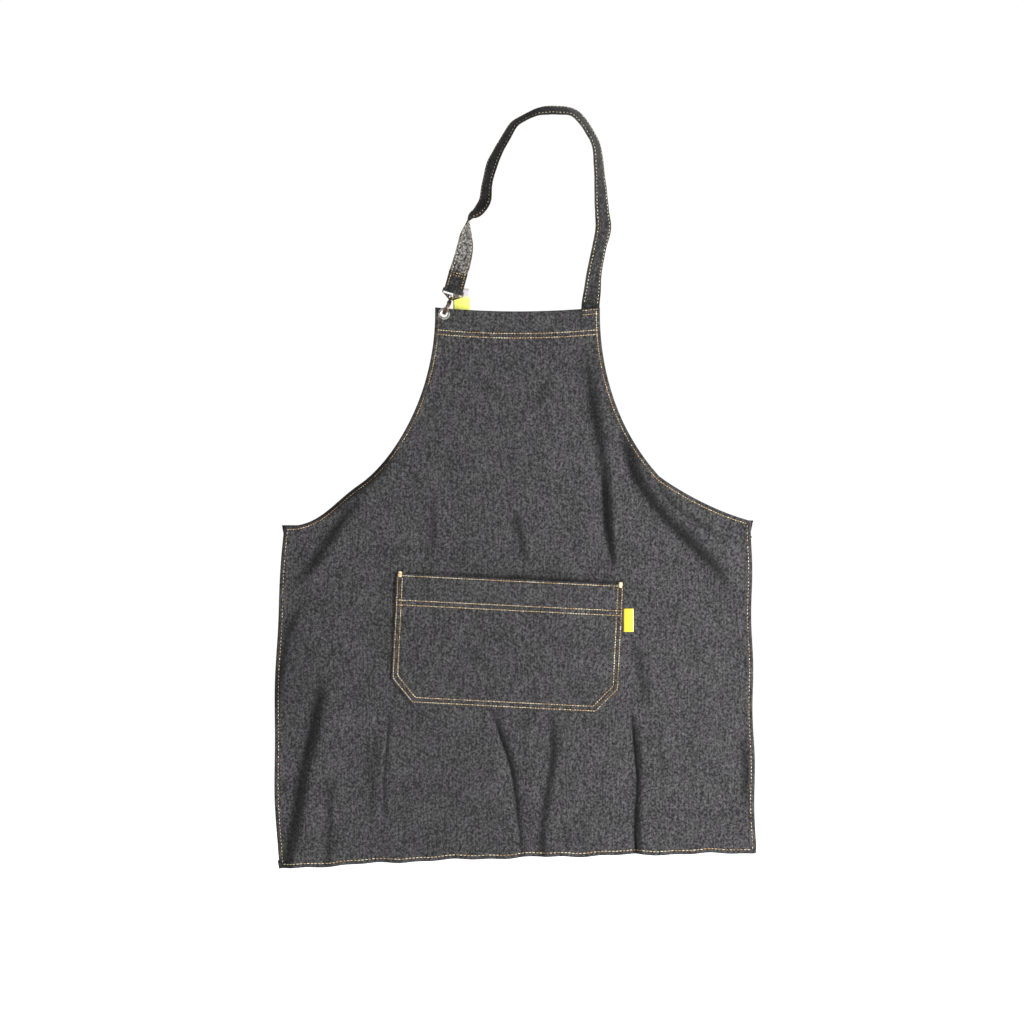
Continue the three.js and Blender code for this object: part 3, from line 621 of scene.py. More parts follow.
def denim_weave_group():
    """Twill of dark warp and pale weft, with slubs, flecks and a height for the bump."""
    group, g, given, out = new_group("denim weave", Vector=None, Dark=(0.03, 0.03, 0.031, 1), Pale=(0.2, 0.2, 0.2, 1),
                                     Flecks=1.0, Slubs=1.0, Shade=0.0)
    at = given["Vector"]

    def speckle(turn, size, detail, rough):
        placed = g.scaled(at, (size * 0.84, size * 0.78, 1), turn)
        return g.math("SUBTRACT", g.noise(placed, 1.0, detail, True, rough), 0.5)

    fine = speckle(0.47, 430, 2.0, 0.75)
    coarse = speckle(-0.71, 215, 3.0, 0.65)
    slubs = g.noise(g.scaled(at, (520, 34, 1)), 1.0, 2.0, True)
    blotches = g.noise(at, 34.0, 3.0, True)
    turned = g.scaled(at, (1, 1, 1), math.radians(-63))
    twill = g.wave(turned, 190.0, 1.2, "X", **{"Detail": 1.0, "Detail Scale": 6.0})
    threads = g.wave(at, 260.0, 0.8, "X", Detail=1.0)
    fleck = g.plus(g.times(fine, 1.9), g.times(coarse, 0.95))
    share = g.plus(g.times(fleck, given["Flecks"]), 0.26)
    share = g.plus(share, g.times(g.centred(slubs, given["Slubs"]), 0.6))
    share = g.plus(share, g.centred(twill, 0.05))
    share = g.plus(share, g.centred(blotches, 0.3), clamp=True)
    hue = g.ramp(g.noise(at, 26.0, 2.0, True), 0.35, 0.65)
    drift = g.mix(hue, (1.02, 0.98, 1.05, 1), (0.985, 1.01, 0.985, 1))
    plain = g.mix(share, given["Dark"], given["Pale"])
    colour = g.add("VectorMath", {0: plain, 1: drift}, operation="MULTIPLY").outputs[0]
    # Painted shade: the Shade input darkens the colour, but never below 0.22 of it.
    keep = g.math("MAXIMUM", g.math("SUBTRACT", 1.0, g.times(given["Shade"], 0.75)), 0.22)
    keep = g.add("CombineXYZ", {0: keep, 1: keep, 2: keep}).outputs[0]
    shaded = g.add("VectorMath", {0: colour, 1: keep}, operation="MULTIPLY").outputs[0]
    height = g.plus(g.plus(g.times(twill, 0.5), g.times(fine, 0.6)), g.times(threads, 0.25))
    g.give(out, Color=shaded, Roughness=g.plus(g.times(share, -0.12), 0.95), Height=height)
    return group


def worn_metal_group():
    """Plating that is rubbed bright in places and dark where hands never reach."""
    group, g, given, out = new_group("worn plating", Bright=(0.7, 0.66, 0.6, 1), Dull=(0.12, 0.09, 0.06, 1), Wear=0.5,
                                     Scale=300.0)
    at = g.add("TexCoord").outputs["Object"]
    patches = g.noise(at, given["Scale"], 4.0)
    grain = g.noise(at, 2600.0, 2.0)
    mask = g.plus(patches, g.math("SUBTRACT", given["Wear"], 0.5))
    mask = g.ramp(g.plus(mask, g.centred(grain, 0.25)), 0.38, 0.62)
    rough = g.math("SUBTRACT", 0.52, g.times(mask, 0.22))
    height = g.plus(g.times(grain, 0.5), g.times(mask, 0.3))
    g.give(out, Color=g.mix(mask, given["Dull"], given["Bright"]), Roughness=rough, Height=height)
    return group


def woven_tape_group():
    """Fine ribbed tape with a slightly uneven dye."""
    group, g, given, out = new_group("woven tape", Vector=None, Tint=(0.9, 0.7, 0.05, 1), Faded=(0.95, 0.9, 0.5, 1),
                                     Fade=0.3, Shade=0.0)
    at = given["Vector"]
    weave = g.times(g.wave(at, 420.0, 0.5, "Y"), g.wave(at, 520.0, 0.5, "X"))
    dye = g.noise(at, 160.0, 3.0)
    mask = g.plus(g.times(dye, given["Fade"]), g.times(weave, 0.12), clamp=True)
    dyed = g.mix(mask, given["Tint"], given["Faded"])
    g.give(out, Color=g.mix(given["Shade"], dyed, (0.55, 0.5, 0.54, 1)), Height=weave,
           Roughness=g.plus(0.8, g.times(weave, -0.15)))
    return group


denim_weave = denim_weave_group()
worn_metal = worn_metal_group()
woven_tape = woven_tape_group()


def new_material(name):
    made = bpy.data.materials.new(name)
    made.use_nodes = True
    made.node_tree.nodes.clear()
    return made, Graph(made.node_tree)


def material(name, group, values, bump, strength, woven=True, **shader):
    """A material from a group. A woven one follows the cloth's own map and its painted shade."""
    made, g = new_material(name)
    inner = g.add("Group")
    inner.node_tree = group
    for key, value in values.items():
        inner.inputs[key].default_value = value
    if woven:
        g.give(inner, Vector=g.add("UVMap", uv_map="cloth").outputs[0],
               Shade=g.add("Attribute", attribute_name="shade").outputs["Fac"])
    raised = g.add("Bump", {"Height": inner.outputs["Height"], "Distance": bump, "Strength": strength}).outputs[0]
    settings = {key.replace("_", " "): value for key, value in shader.items()}
    surface = g.add("BsdfPrincipled", {"Base Color": inner.outputs["Color"], "Roughness": inner.outputs["Roughness"],
                                       "Normal": raised, **settings})
    g.add("OutputMaterial", {0: surface.outputs[0]})
    return made


def thread_material():
    made, g = new_material("topstitch thread")
    tone = g.add("Attribute", attribute_name="shade").outputs["Fac"]
    at = g.add("TexCoord").outputs["Object"]
    pick = g.plus(tone, g.centred(g.noise(at, 22.0, 2.0), 1.3))
    colour = g.mix(g.ramp(pick, 0.0, 0.5), (0.1, 0.055, 0.025, 1), (0.52, 0.29, 0.08, 1))
    colour = g.mix(g.ramp(pick, 0.45, 0.95), colour, (0.86, 0.76, 0.5, 1))
    ply = g.wave(at, 900.0, 2.0, "DIAGONAL")
    raised = g.add("Bump", {"Height": ply, "Distance": 0.0001, "Strength": 0.5}).outputs[0]
    surface = g.add("BsdfPrincipled", {"Base Color": colour, "Normal": raised, "Sheen Weight": 0.15,
                                       "Roughness": g.plus(0.55, g.times(ply, 0.1))})
    g.add("OutputMaterial", {0: surface.outputs[0]})
    return made


def denim_material(name, dark, pale, flecks, strength, sheen, sheen_roughness, specular):
    return material(name, denim_weave, {"Dark": (*dark, 1), "Pale": (*pale, 1), "Flecks": flecks}, 0.0003, strength,
                    Sheen_Weight=sheen, Sheen_Roughness=sheen_roughness, Specular_IOR_Level=specular)


def plated(name, bright, dull, wear, bump, strength, metallic):
    return material(name, worn_metal, {"Bright": (*bright, 1), "Dull": (*dull, 1), "Wear": wear}, bump, strength, False,
                    Metallic=metallic)


def label_material(name, tint, faded):
    return material(name, woven_tape, {"Tint": (*tint, 1), "Faded": (*faded, 1), "Fade": 0.6}, 0.0001, 0.5,
                    Specular_IOR_Level=0.3)


denim = denim_material("charcoal denim", (0.006, 0.0057, 0.0058), (0.105, 0.102, 0.105), 1.0, 0.5, 0.12, 0.6, 0.25)
denim_back = denim_material("denim wrong side", (0.045, 0.044, 0.043), (0.37, 0.362, 0.345), 0.9, 0.5, 0.12, 0.6, 0.25)
strap_denim = denim_material("strap denim", (0.003, 0.0028, 0.0028), (0.05, 0.048, 0.047), 1.3, 0.6, 0.15, 0.5, 0.3)
strap_back = denim_material("strap wrong side", (0.015, 0.0145, 0.014), (0.29, 0.28, 0.26), 1.2, 0.6, 0.15, 0.5, 0.3)
bright_nickel = plated("bright nickel", (0.74, 0.71, 0.66), (0.16, 0.125, 0.09), 0.55, 0.00003, 0.3, 0.95)
antique_nickel = plated("antique nickel", (0.5, 0.41, 0.31), (0.05, 0.028, 0.018), 0.42, 0.00004, 0.35, 0.85)
spring_steel = plated("spring steel", (0.5, 0.5, 0.5), (0.2, 0.2, 0.21), 0.7, 0.00002, 0.3, 1.0)
yellow_label = label_material("yellow label", (0.8, 0.5, 0.015), (0.95, 0.74, 0.12))
lemon_label = label_material("lemon label", (0.72, 0.77, 0.08), (0.86, 0.88, 0.34))
thread = thread_material()

for finish, nodes in ((bright_nickel, ("eyelet_flange", "eyelet_washer")), (spring_steel, ("gate_pin", "gate_spring")),
                      (antique_nickel, ("hook_body", "swivel_stud", "gate", "strap_ring"))):
    for node in nodes:
        kept = bpy.data.objects[node].data.materials
        kept.clear()
        kept.append(finish)

# ---- Body of the apron ----

GRID = 3.5
ROWS = (1.0, 2.3, 3.6, 4.6, 5.7, 7.4, 9.2)
TOP_ROWS = (1.0, 2.4, 26.0, 27.8, 29.8, 31.6, 33.3, 35.0, 36.6)
SHARP = ("pressed line", "under the pocket", "right skirt")
HEM_GAP = 0.72
HEM_BACK = 1.75
SUNK, PROUD = -0.16, 0.1
FORWARD, BACKWARD = (0, -1, 0), (0, 1, 0)


def outline_loop(step):
    parts = [left_armhole, left_side, bottom_edge, right_side[::-1], right_armhole[::-1], top_edge[::-1]]
    return np.vstack([spaced(p, step)[:-1] for p in parts])


def ring(centre, radius, steps):
    a = np.linspace(0, 2 * np.pi, steps, endpoint=False)
    return centre + radius * np.stack([np.cos(a), np.sin(a)], 1)


def inner_rows(lines, distances, step, sign):
    """Rows of points at set distances inside an edge, kept only where no other edge is nearer."""
    out = []
    for d in distances:
        for line in lines:
            row = spaced(shifted(spaced(line, step), sign * d), step)
            out.append(row[(from_edges(row) > d - 0.12) & (top_at(row[:, 0]) - row[:, 1] > 1.2)])
    return out


def painted_hollow_shade(points):
    """Painted shade in the hollows under the left armhole, along the left side and where the right armhole rolls."""
    x, z = points[:, 0], points[:, 1]
    edge = from_edges(points)
    armhole_part = smooth(-110, -170, x) * smooth(-302, -282, z) * np.exp(-edge / 9)
    side_part = smooth(-240, -280, x) * np.exp(-((z + 450) / 70) ** 2)
    notch = np.exp(-edge / 4) * np.exp(-((z + 165) / 30) ** 2) * (x > 0)
    return 0.5 * armhole_part + 0.35 * side_part + 0.55 * notch


def painted_crease_shade(points):
    """Painted shade, from 0 to 1, that darkens the cloth's colour in the creases, on slopes that face away from the key
    light, in a painted shadow above the pocket's mouth, along the rolled edges and in the hollows.
    """
    step = 2.6
    x, z = points[:, 0], points[:, 1]
    right, left, up, down = (relief(points + np.array(d) * step) for d in ((1, 0), (-1, 0), (0, 1), (0, -1)))
    hollow = (right + left + up + down) / 4 - relief(points)
    slope = (right - left) / (2 * step)
    c, s = math.cos(POCKET_TILT), math.sin(POCKET_TILT)
    along = (x - POCKET_X) * c - (z - POCKET_Z) * s
    above = (x - POCKET_X) * s + (z - POCKET_Z) * c
    # Painted shadow in a band just above the pocket's mouth, stronger to the right.
    mouth = 1.3 * np.exp(-np.abs(above - 1.5) / 2.6) * (1 - smooth(120, 142, np.abs(along)))
    mouth *= 0.45 + 0.55 * smooth(-90, 20, along)
    # Painted shade along the rolled edges.
    rolled = 0.45 * np.exp(-from_edges(points) / 1.3)
    # Painted shade in hollows of the relief, and on slopes that rise to the right and so face away from the key light.
    crease_and_slope_shade = np.clip(hollow * 2.2, 0, 0.7) + np.clip(slope * 1.1, 0, 0.6)
    return crease_and_slope_shade + np.maximum(mouth, rolled) + painted_hollow_shade(points)


rows = inner_rows([left_armhole, left_side, bottom_edge], ROWS, GRID * 0.9, 1)
rows += inner_rows([right_armhole, right_side], ROWS, GRID * 0.9, -1)
for below in TOP_ROWS:
    x = np.arange(-BIB_WIDTH / 2 + 11, BIB_WIDTH / 2 - 10, GRID)
    row = np.stack([x, top_at(x) - below], 1)
    rows.append(row[from_eyelet(row) > 11.5])
for name, line, *_ in FOLDS:
    if name in SHARP:
        middle = spaced(through(line), 3.0)
        rows += [shifted(middle, d) for d in (-3.6, -2.2, -1.1, 0.0, 1.1, 2.2, 3.6)]
for radius in (7.6, 9.4):
    row = ring(EYELET, radius, 22)
    rows.append(row[top_at(row[:, 0]) - row[:, 1] > 0.8])

body = layer("apron_body", [outline_loop(GRID * 0.9), ring(EYELET, EYELET_HOLE, 28)], rows, GRID, front_of,
             lambda p: np.maximum(back_of(p), front_of(p) + 0.5), [denim, denim_back], shade=painted_crease_shade)
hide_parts("body_panel")


def hem_strip(name, node, edge, depth, sign, start=0.0, stop=0.0):
    """The turned-in cloth behind an edge, with its far side rolled under."""
    line = trimmed(spaced(edge, GRID), start, stop)
    shares = np.array([0.02, 0.12, 0.3, 0.5, 0.7, 0.88, 1.0])
    thick = 0.5 * np.array([0.5, 1.0, 1.05, 0.8, 1.05, 1.0, 0.35])
    n, m = len(line), len(shares)
    mid = np.stack([shifted(line, sign * (0.3 + depth * s)) for s in shares], 1)
    flat = mid.reshape(-1, 2)
    verts = slab(mid[..., 0], back_of(flat).reshape(n, m) + HEM_GAP + 0.5, mid[..., 1], thick)
    faces = [f[::-sign] for f in grid_faces(n, m)]
    uv = np.vstack([flat, flat + (600, 0)]) * MM
    piece = finished(name, world(verts), faces, [denim], "apron", None, uv, np.zeros(2 * n * m))
    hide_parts(node)
    return piece


def top_hem():
    def back(p):
        return back_of(p) + HEM_GAP

    x = np.linspace(-BIB_WIDTH / 2 + 0.6, BIB_WIDTH / 2 - 0.6, 50)
    high = np.stack([x, top_at(x) - 0.3], 1)
    loop = np.vstack([high[::-1], [[x[0], -12], [x[0], -24]], high + (0, -TOP_HEM_DEPTH + 0.5),
                      [[x[-1], -24], [x[-1], -12]]])
    piece = layer("bib_top_hem_turned", [loop, ring(EYELET, EYELET_HOLE, 28)], [], 5, back,
                  lambda p: back(p) + 1.0, [denim])
    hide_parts("bib_top_hem")
    return piece


hems = [
    top_hem(),
    hem_strip("left_armhole_hem_turned", "left_armhole_hem", left_armhole, 7, 1, 38, 1),
    hem_strip("right_armhole_hem_turned", "right_armhole_hem", right_armhole, 7, -1, 38, 1),
    hem_strip("left_side_hem_turned", "left_side_hem", left_side, 8, 1, 9, 11),
    hem_strip("right_side_hem_turned", "right_side_hem", right_side, 8, -1, 9, 11),
    hem_strip("bottom_hem_turned", "bottom_hem", bottom_edge, 10, 1),
]


def both_faces(line):
    """Runs of stitches on the front of the cloth and on the back of its hem."""
    return [(on(front_of, line, SUNK), FORWARD), (on(lambda p: back_of(p) + HEM_BACK, line, PROUD), BACKWARD)]


def seam(edge, sign, inset, start, stop):
    """Front and back runs of one line of stitches along an edge."""
    return both_faces(trimmed(spaced(shifted(spaced(edge, 2), sign * inset), 2), start, stop))


top_line = np.stack([np.linspace(-BIB_WIDTH / 2 + 2.5, BIB_WIDTH / 2 - 2.5, 100)] * 2, 1)
top_line[:, 1] = top_at(top_line[:, 0])
foot_x = np.linspace(*STRAP_FOOT, 12)
foot_lines = [np.stack([foot_x, top_at(foot_x) - below + 1.4], 1) for below in FOOT_STITCHES]
top_runs = [run for below in TOP_STITCHES for run in both_faces(top_line + (0, -below))]
top_runs += [(on(front_of, line, -0.2), FORWARD) for line in foot_lines]
body_stitches = [
    stitching("bib_top_stitching", top_runs),
    stitching("left_armhole_stitching", seam(left_armhole, 1, EDGE_STITCH, 2, 3), tones=(0.0, 0.75)),
    stitching("right_armhole_stitching", seam(right_armhole, -1, EDGE_STITCH, 2, 3), tones=(0.2, 0.95)),
    *[stitching(name, seam(edge, sign, EDGE_STITCH, 4, 4), pitch=4.4, length=2.6, width=0.65, tones=(0.2, 1.0))
      for name, edge, sign in (("left_side_stitching", left_side, 1), ("right_side_stitching", right_side, -1))],
    stitching("bottom_stitching", seam(bottom_edge, 1, 5.0, 4, 4), pitch=4.6, length=3.6, width=0.75),
]

# ---- Pocket ----

def pocket_place(p):
    c, s = math.cos(POCKET_TILT), math.sin(POCKET_TILT)
    return np.stack([POCKET_X + p[:, 0] * c + p[:, 1] * s, POCKET_Z - p[:, 0] * s + p[:, 1] * c], 1)


def pocket_line(inset, high=0.0):
    """The sewn edge of the pocket, down its left, across and up its right."""
    half, low = POCKET_WIDTH / 2 - inset, -POCKET_HEIGHT + inset
    cut_x, cut_z = POCKET_CHAMFER[0] - inset * 0.4, POCKET_CHAMFER[1] - inset * 0.4
    return np.array([(-half, high), (-half, low + cut_z), (-half + cut_x, low), (half - cut_x, low),
                     (half, low + cut_z), (half, high)])


from_seam = nearest(pocket_line(0))
POCKET_SWELL = ([0, 0.8, 2.0, 3.6, 5.4, 8.2, 10], [0.25, 0.9, 0.62, 1.0, 0.95, 0.6, 0.9])


def pocket_front(p):
    """The y of the pocket's face, from pocket millimetres."""
    sewn, below = from_seam(p), -p[:, 1]
    middle = np.clip(1 - (np.abs(p[:, 0] - 25) / 150) ** 2, 0, 1)
    gape = 3.6 * middle * np.exp(-below / 38) * smooth(0, 45, sewn)
    slack = 1.6 * smooth(8, 60, sewn) + 0.5 * np.sin(p[:, 0] / 27 + 1) * smooth(10, 40, sewn)
    slack += np.array([0.9 * noise.noise((a / 30, 9, b / 40)) for a, b in p]) * smooth(8, 30, sewn)
    dips = 0.35 * sum(np.exp(-((below - b) / 1.1) ** 2) for b in (*POCKET_BANDS, 2.4))
    hem = 0.7 * (1 - smooth(36, 40, below)) * smooth(0, 1.4, below)
    return -CLOTH / 2 - relief(pocket_place(p)) - np.interp(sewn, *POCKET_SWELL) - gape - slack - hem + dips - 0.9


# Painted shade on the pocket: darker on slopes that face away from the key light and along its sewn edge.
def painted_pocket_shade(p):
    step = 3.0
    slope = (pocket_front(p - np.array((step, 0))) - pocket_front(p + np.array((step, 0)))) / (2 * step)
    return np.clip(slope * 0.8, 0, 0.5) + 0.35 * np.exp(-from_seam(p) / 1.2)


pocket_loop = np.vstack([spaced(pocket_line(0), 3.4), spaced(pocket_line(0)[[-1, 0]], 3.4)[1:-1]])
pocket_rows = []
for inset in (0.9, 2.6, 3.8, 5.6, 8.2, 10):
    row = spaced(pocket_line(inset, -1.2), 3.2)
    pocket_rows.append(row[from_seam(row) > inset - 0.15])
for below in (1.2, 2.4, 3.8, 31.6, 33, 34.6, 37.4, 39, 40.6):
    x = np.arange(-POCKET_WIDTH / 2 + 12.5, POCKET_WIDTH / 2 - 12, 3.4)
    pocket_rows.append(np.stack([x, np.full(len(x), -below)], 1))
pocket = layer("pocket", [pocket_loop], pocket_rows, 4.0, pocket_front, lambda p: pocket_front(p) + 1.15,
               [denim, denim_back], place=pocket_place, shade=painted_pocket_shade)
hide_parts("pocket_panel")


def pocket_hem():
    half = POCKET_WIDTH / 2 - 9
    loop = spaced(np.array([(-half, -0.6), (-half, -35.5), (half, -35.5), (half, -0.6), (-half, -0.6)]), 5)[:-1]
    piece = layer("pocket_top_hem_turned", [loop], [], 6, lambda p: pocket_front(p) + 1.25,
                  lambda p: pocket_front(p) + 2.1, [denim], place=pocket_place)
    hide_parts("pocket_top_hem")
    return piece


turned_pocket = pocket_hem()


def on_pocket(line):
    """A run of stitches on the pocket's face."""
    line = spaced(line, 1.6)
    at = pocket_place(line)
    return np.stack([at[:, 0], pocket_front(line) + SUNK, at[:, 1]], 1), FORWARD


def level(below, inset=1.5):
    """A line across the pocket."""
    half = POCKET_WIDTH / 2 - inset
    return np.array([(-half, -below), (half, -below)])


pocket_stitches = [
    stitching("pocket_mouth_stitching", [on_pocket(level(2.4, 8)), *[on_pocket(level(b)) for b in POCKET_BANDS]]),
    stitching("pocket_seam_stitching", [on_pocket(pocket_line(inset, -5)) for inset in POCKET_SEAMS]),
    stitching("pocket_seam_stitching_behind", [
        (on(back_of, pocket_place(spaced(pocket_line(inset, -5), 2)), PROUD), BACKWARD) for inset in POCKET_SEAMS]),
]


def bartack(name, node, side):
    """A dense block of satin stitches across the corner of the mouth."""
    x = side * (POCKET_WIDTH / 2 - 5)
    y = pocket_front(np.array([(x, -3.0)]))[0] - 0.35
    runs = []
    for k in range(9):
        z = 2.6 - k * 0.8
        half = 3.2 * math.sqrt(max(0.1, 1 - ((k - 4) / 5.2) ** 2))
        at = pocket_place(np.array([(x - half, z), (x + half, z - 0.35)]))
        runs.append((np.stack([at[:, 0], np.full(2, y), at[:, 1]], 1), FORWARD))
    piece = stitching(name, runs, pitch=20, length=5.4, width=0.95, height=0.9)
    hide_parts(node)
    return piece


tacks = [bartack("left_bartack_stitches", "left_bartack", -1), bartack("right_bartack_stitches", "right_bartack", 1)]


def flat_piece(name, x, y, z, half, finish, shade):
    """A small closed sheet from grids of its middle, in millimetres of the row frame."""
    uv = np.concatenate([np.stack([x, z], -1).reshape(-1, 2)] * 2) * MM
    faces = [f[::-1] for f in grid_faces(*x.shape)]
    return finished(name, slab(x, y, z, half) * MM, faces, [finish], None, None, uv, shade)


def folded_label(name, node, low, high, y, thick, finish, bulge):
    """A small tape folded in two, its fold at the far end."""
    u, v = np.meshgrid(np.linspace(0, 1, 9), np.linspace(0, 1, 15), indexing="ij")
    puff = bulge * np.sin(np.pi * u * 0.9)
    half = thick / 2 * np.sqrt(np.clip(1 - (np.clip(u * 1.02, 0, 1)) ** 10, 0.12, 1))
    rim = np.tile((0.55 * smooth(0.86, 1, u)).ravel(), 2)
    piece = flat_piece(name, low[0] + (high[0] - low[0]) * u, y - puff, low[1] + (high[1] - low[1]) * v, half, finish,
                       rim)
    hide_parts(node)
    return piece


low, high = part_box("pocket_label")
pocket_tag = folded_label("pocket_label_tape", "pocket_label", (low[0] / MM + 1.3, low[2] / MM),
                          (high[0] / MM + 1.0, high[2] / MM), (low[1] + high[1]) / 2 / MM, 1.0, yellow_label,
                          0.5)
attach(pocket_tag, "pocket_label")

# ---- Bib label ----

low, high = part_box("bib_label")


def bib_label():
    across = np.linspace(low[0], high[0], 10) / MM
    rise = np.array([-252, -247, -243.5, -241.5, -239, -235, -230, -225, -220, high[2] / MM])
    depth = np.array([2.35, 2.4, 2.7, 3.9, 5.0, 5.3, 5.25, 5.2, 5.2, 5.25])
    x, rise = np.meshgrid(across, rise, indexing="ij")
    z = rise + 0.6 * np.sin(x / 5)
    y = depth + 0.25 * np.sin(x / 4 + 1)
    # The top of the tape is mixed to pale lilac-grey.
    faded = np.tile(smooth(-229, -225, z).ravel(), 2)
    piece = flat_piece("bib_label_tape", x, y, z, 0.35, lemon_label, faded)
    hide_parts("bib_label")
    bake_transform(piece)
    return piece


bib_label()

# ---- Neck strap ----

# The strap's middle line from its sewn end up, over and down: x as a share of the bib's width, the rise
# as a share of the loop's, its roll in degrees, how it cups across its width, and how far it is gathered.
STRAP_ROUTE = [
    (0.468, 0.184, 35, 0.6, 1.0), (0.498, 0.316, 38, 0.8, 1.0), (0.522, 0.412, 30, 1.0, 1.0),
    (0.514, 0.496, 38, 0.8, 1.0), (0.507, 0.584, 44, 0.6, 1.0), (0.498, 0.693, 55, 0.6, 1.0),
    (0.483, 0.828, 62, 0.8, 1.0), (0.444, 0.906, 62, 1.0, 1.0), (0.387, 0.979, 62, 1.2, 1.0),
    (0.334, 1.016, 60, 1.4, 1.0), (0.257, 1.027, 58, 1.6, 1.0), (0.185, 1.027, 58, 1.6, 1.0),
    (0.114, 1.017, 62, 1.4, 1.0), (0.041, 0.988, 66, 1.2, 1.0), (-0.021, 0.953, 64, 1.0, 1.0),
    (-0.07, 0.886, 60, 0.9, 1.0), (-0.115, 0.818, 58, 0.8, 1.0), (-0.157, 0.74, 52, 0.8, 1.0),
    (-0.188, 0.636, 55, 1.0, 0.97), (-0.2, 0.556, 46, 1.4, 0.95), (-0.24, 0.502, 48, 1.8, 0.9),
    (-0.284, 0.475, 66, 1.8, 0.8), (-0.303, 0.435, 100, 1.4, 0.72), (-0.314, 0.376, 135, 0.8, 0.86),
    (-0.32, 0.308, 158, 0.3, 0.96), (-0.34, 0.23, 172, 0.0, 1.0),
]
joints = {j["name"]: j for j in frame["record"]["behaviour"]["joints"]}
bar = np.array(joints["ring_tilt"]["pos_m"]) / MM - (BIB_X, 0, BIB_Z)
bar_across = np.array(joints["ring_tilt"]["axis"])
bar_up = np.cross(bar_across, (0, 1, 0))
strap_root = BIB_WIDTH / 2 - STRAP_WIDTH / 2 - 0.5
STRAP_BACK = 3.3
STRAP_CRUMPLE = 0.7
STRAP_STITCH = 3.2
TO_BACK = np.array([0, 1, 0])


def rolled(line, degrees):
    """Wide and thick directions for a tape that lies across its line in the apron's plane, then rolls."""
    along = unit(np.gradient(line, axis=0))
    across = unit(np.cross(TO_BACK, along))
    roll = np.radians(degrees)[:, None]
    wide = across * np.cos(roll) + TO_BACK * np.sin(roll)
    return wide, unit(np.cross(along, wide))


def held(path, wide):
    """Wide and thick directions for a tape whose width keeps one direction."""
    wide = np.repeat(np.array([wide], float), len(path), 0)
    return wide, np.cross(unit(np.gradient(path, axis=0)), wide)


def strap_rows():
    """Place, roll, cup and gathering along the whole strap, its sewn end first."""
    rows = [(strap_root, STRAP_BACK, -34.6, 0, 0, 1), (strap_root, STRAP_BACK, -20, 0, 0, 1),
            (strap_root, STRAP_BACK, -7, 2, 0.1, 1), (strap_root + 0.6, STRAP_BACK, 5, 8, 0.3, 1),
            (strap_root + 2.5, STRAP_BACK * 0.9, 20, 20, 0.4, 1)]
    n = len(STRAP_ROUTE)
    end = bar + bar_up * 22.1
    for i, (u, v, roll, cup, gathered) in enumerate(STRAP_ROUTE):
        y = max(0, 1 - (i + 1) / 4) * STRAP_BACK + max(0, 1 - (n - i) / 4) * end[1]
        rows.append((u * BIB_WIDTH, y, v * LOOP_RISE, roll, cup, gathered))
    rows += [(*place, 180, 0, 1) for place in (end + bar_up * STRAP_WIDTH / 4, end, end - bar_up * 4)]
    return spaced(through(rows, 9), 2.6, int)


strap_line = strap_rows()
centre, cup, gathered = strap_line[:, :3], strap_line[:, 4], strap_line[:, 5]
wide, thick = rolled(centre, strap_line[:, 3])
strap = tape("neck_strap_tape", centre, wide, thick, STRAP_WIDTH, STRAP_THICK, [strap_denim, strap_back], None,
             cup=cup, scale=gathered, crumple=STRAP_CRUMPLE)
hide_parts("neck_strap", "strap_root_tab")


def strap_runs():
    runs = []
    for side in (-1, 1):
        s = side * (STRAP_WIDTH / 2 - STRAP_STITCH)
        lumps = np.array([STRAP_CRUMPLE * lump(s, a) for a in lengths(centre)])
        for face in (-1, 1):
            out = curled(cup, s, STRAP_WIDTH) + lumps + face * 0.95
            line = centre + wide * (s * gathered)[:, None] + thick * out[:, None]
            keep = slice(0, None) if face > 0 else slice(15, -3)
            runs.append((line[keep], face * thick[keep]))
    return runs


strap_stitches = stitching("neck_strap_stitching", strap_runs(), None, pitch=4.4, length=2.4, width=0.7,
                           tones=(0.5, 1.2))
foot_stitches = stitching("strap_foot_stitching", [
    (on(lambda p: np.full(len(p), STRAP_BACK + 1.25), line), BACKWARD) for line in foot_lines])
for piece in (strap, strap_stitches):
    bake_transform(piece)

# ---- The end of the strap, turned round the ring ----

def strap_end():
    """One length of tape that comes down the front, turns round the ring's bar and goes up behind."""
    bore, layer_thick = 1.95, 1.1
    r = bore + layer_thick / 2
    front = [(-0.9, 24.5), (-0.95, 19), (-1.05, 13), (-1.5, 8), (-2.2, 3.6)]
    turn = [(r * math.cos(a), r * math.sin(a)) for a in np.linspace(math.pi * 1.02, math.pi * 1.98, 10)]
    back = [(2.2, 3.6), (1.5, 8), (1.05, 13), (0.95, 19), (0.9, 24.0)]
    path = through(front + turn + back, 5)
    centre = bar + np.outer(path[:, 0], TO_BACK) + np.outer(path[:, 1], bar_up)
    wide, thick = held(centre, bar_across)
    piece = tape("strap_end_tape", centre, -wide, -thick, STRAP_WIDTH + 0.6, layer_thick, [strap_denim, strap_denim],
                 "neck_strap", crumple=0.35, groove=3.0)
    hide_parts("strap_end_loop")

    def spot(x, rise, out):
        return bar + bar_across * x + bar_up * rise + TO_BACK * out

    half = STRAP_WIDTH / 2 - 1.6
    runs = [(np.array([spot(x, rise + 0.5 * math.sin(x), face * proud) for x in np.linspace(-half, half, 12)]),
             (0, face, 0)) for rise, proud in ((22.6, 1.55), (19.4, 1.6)) for face in (-1, 1)]
    for x in (-half + 1.2, half - 1.2):
        runs.append((np.array([spot(x, v, -d) for v, d in ((18.5, 1.62), (13, 1.68), (8, 2.1), (5, 2.5))]), FORWARD))
    return piece, stitching("strap_end_stitching", runs, "neck_strap", pitch=3.6, length=2.2, width=0.75,
                            tones=(0.6, 1.2))


chape, chape_stitches = strap_end()

# ---- Waist ties and bow ----

def tie_tape(name, path, wide, thick, crumple, thickness=TIE_THICK, **shape):
    return tape(name, path, wide, thick, TIE_WIDTH, thickness, [strap_denim, strap_denim], crumple=crumple, **shape)


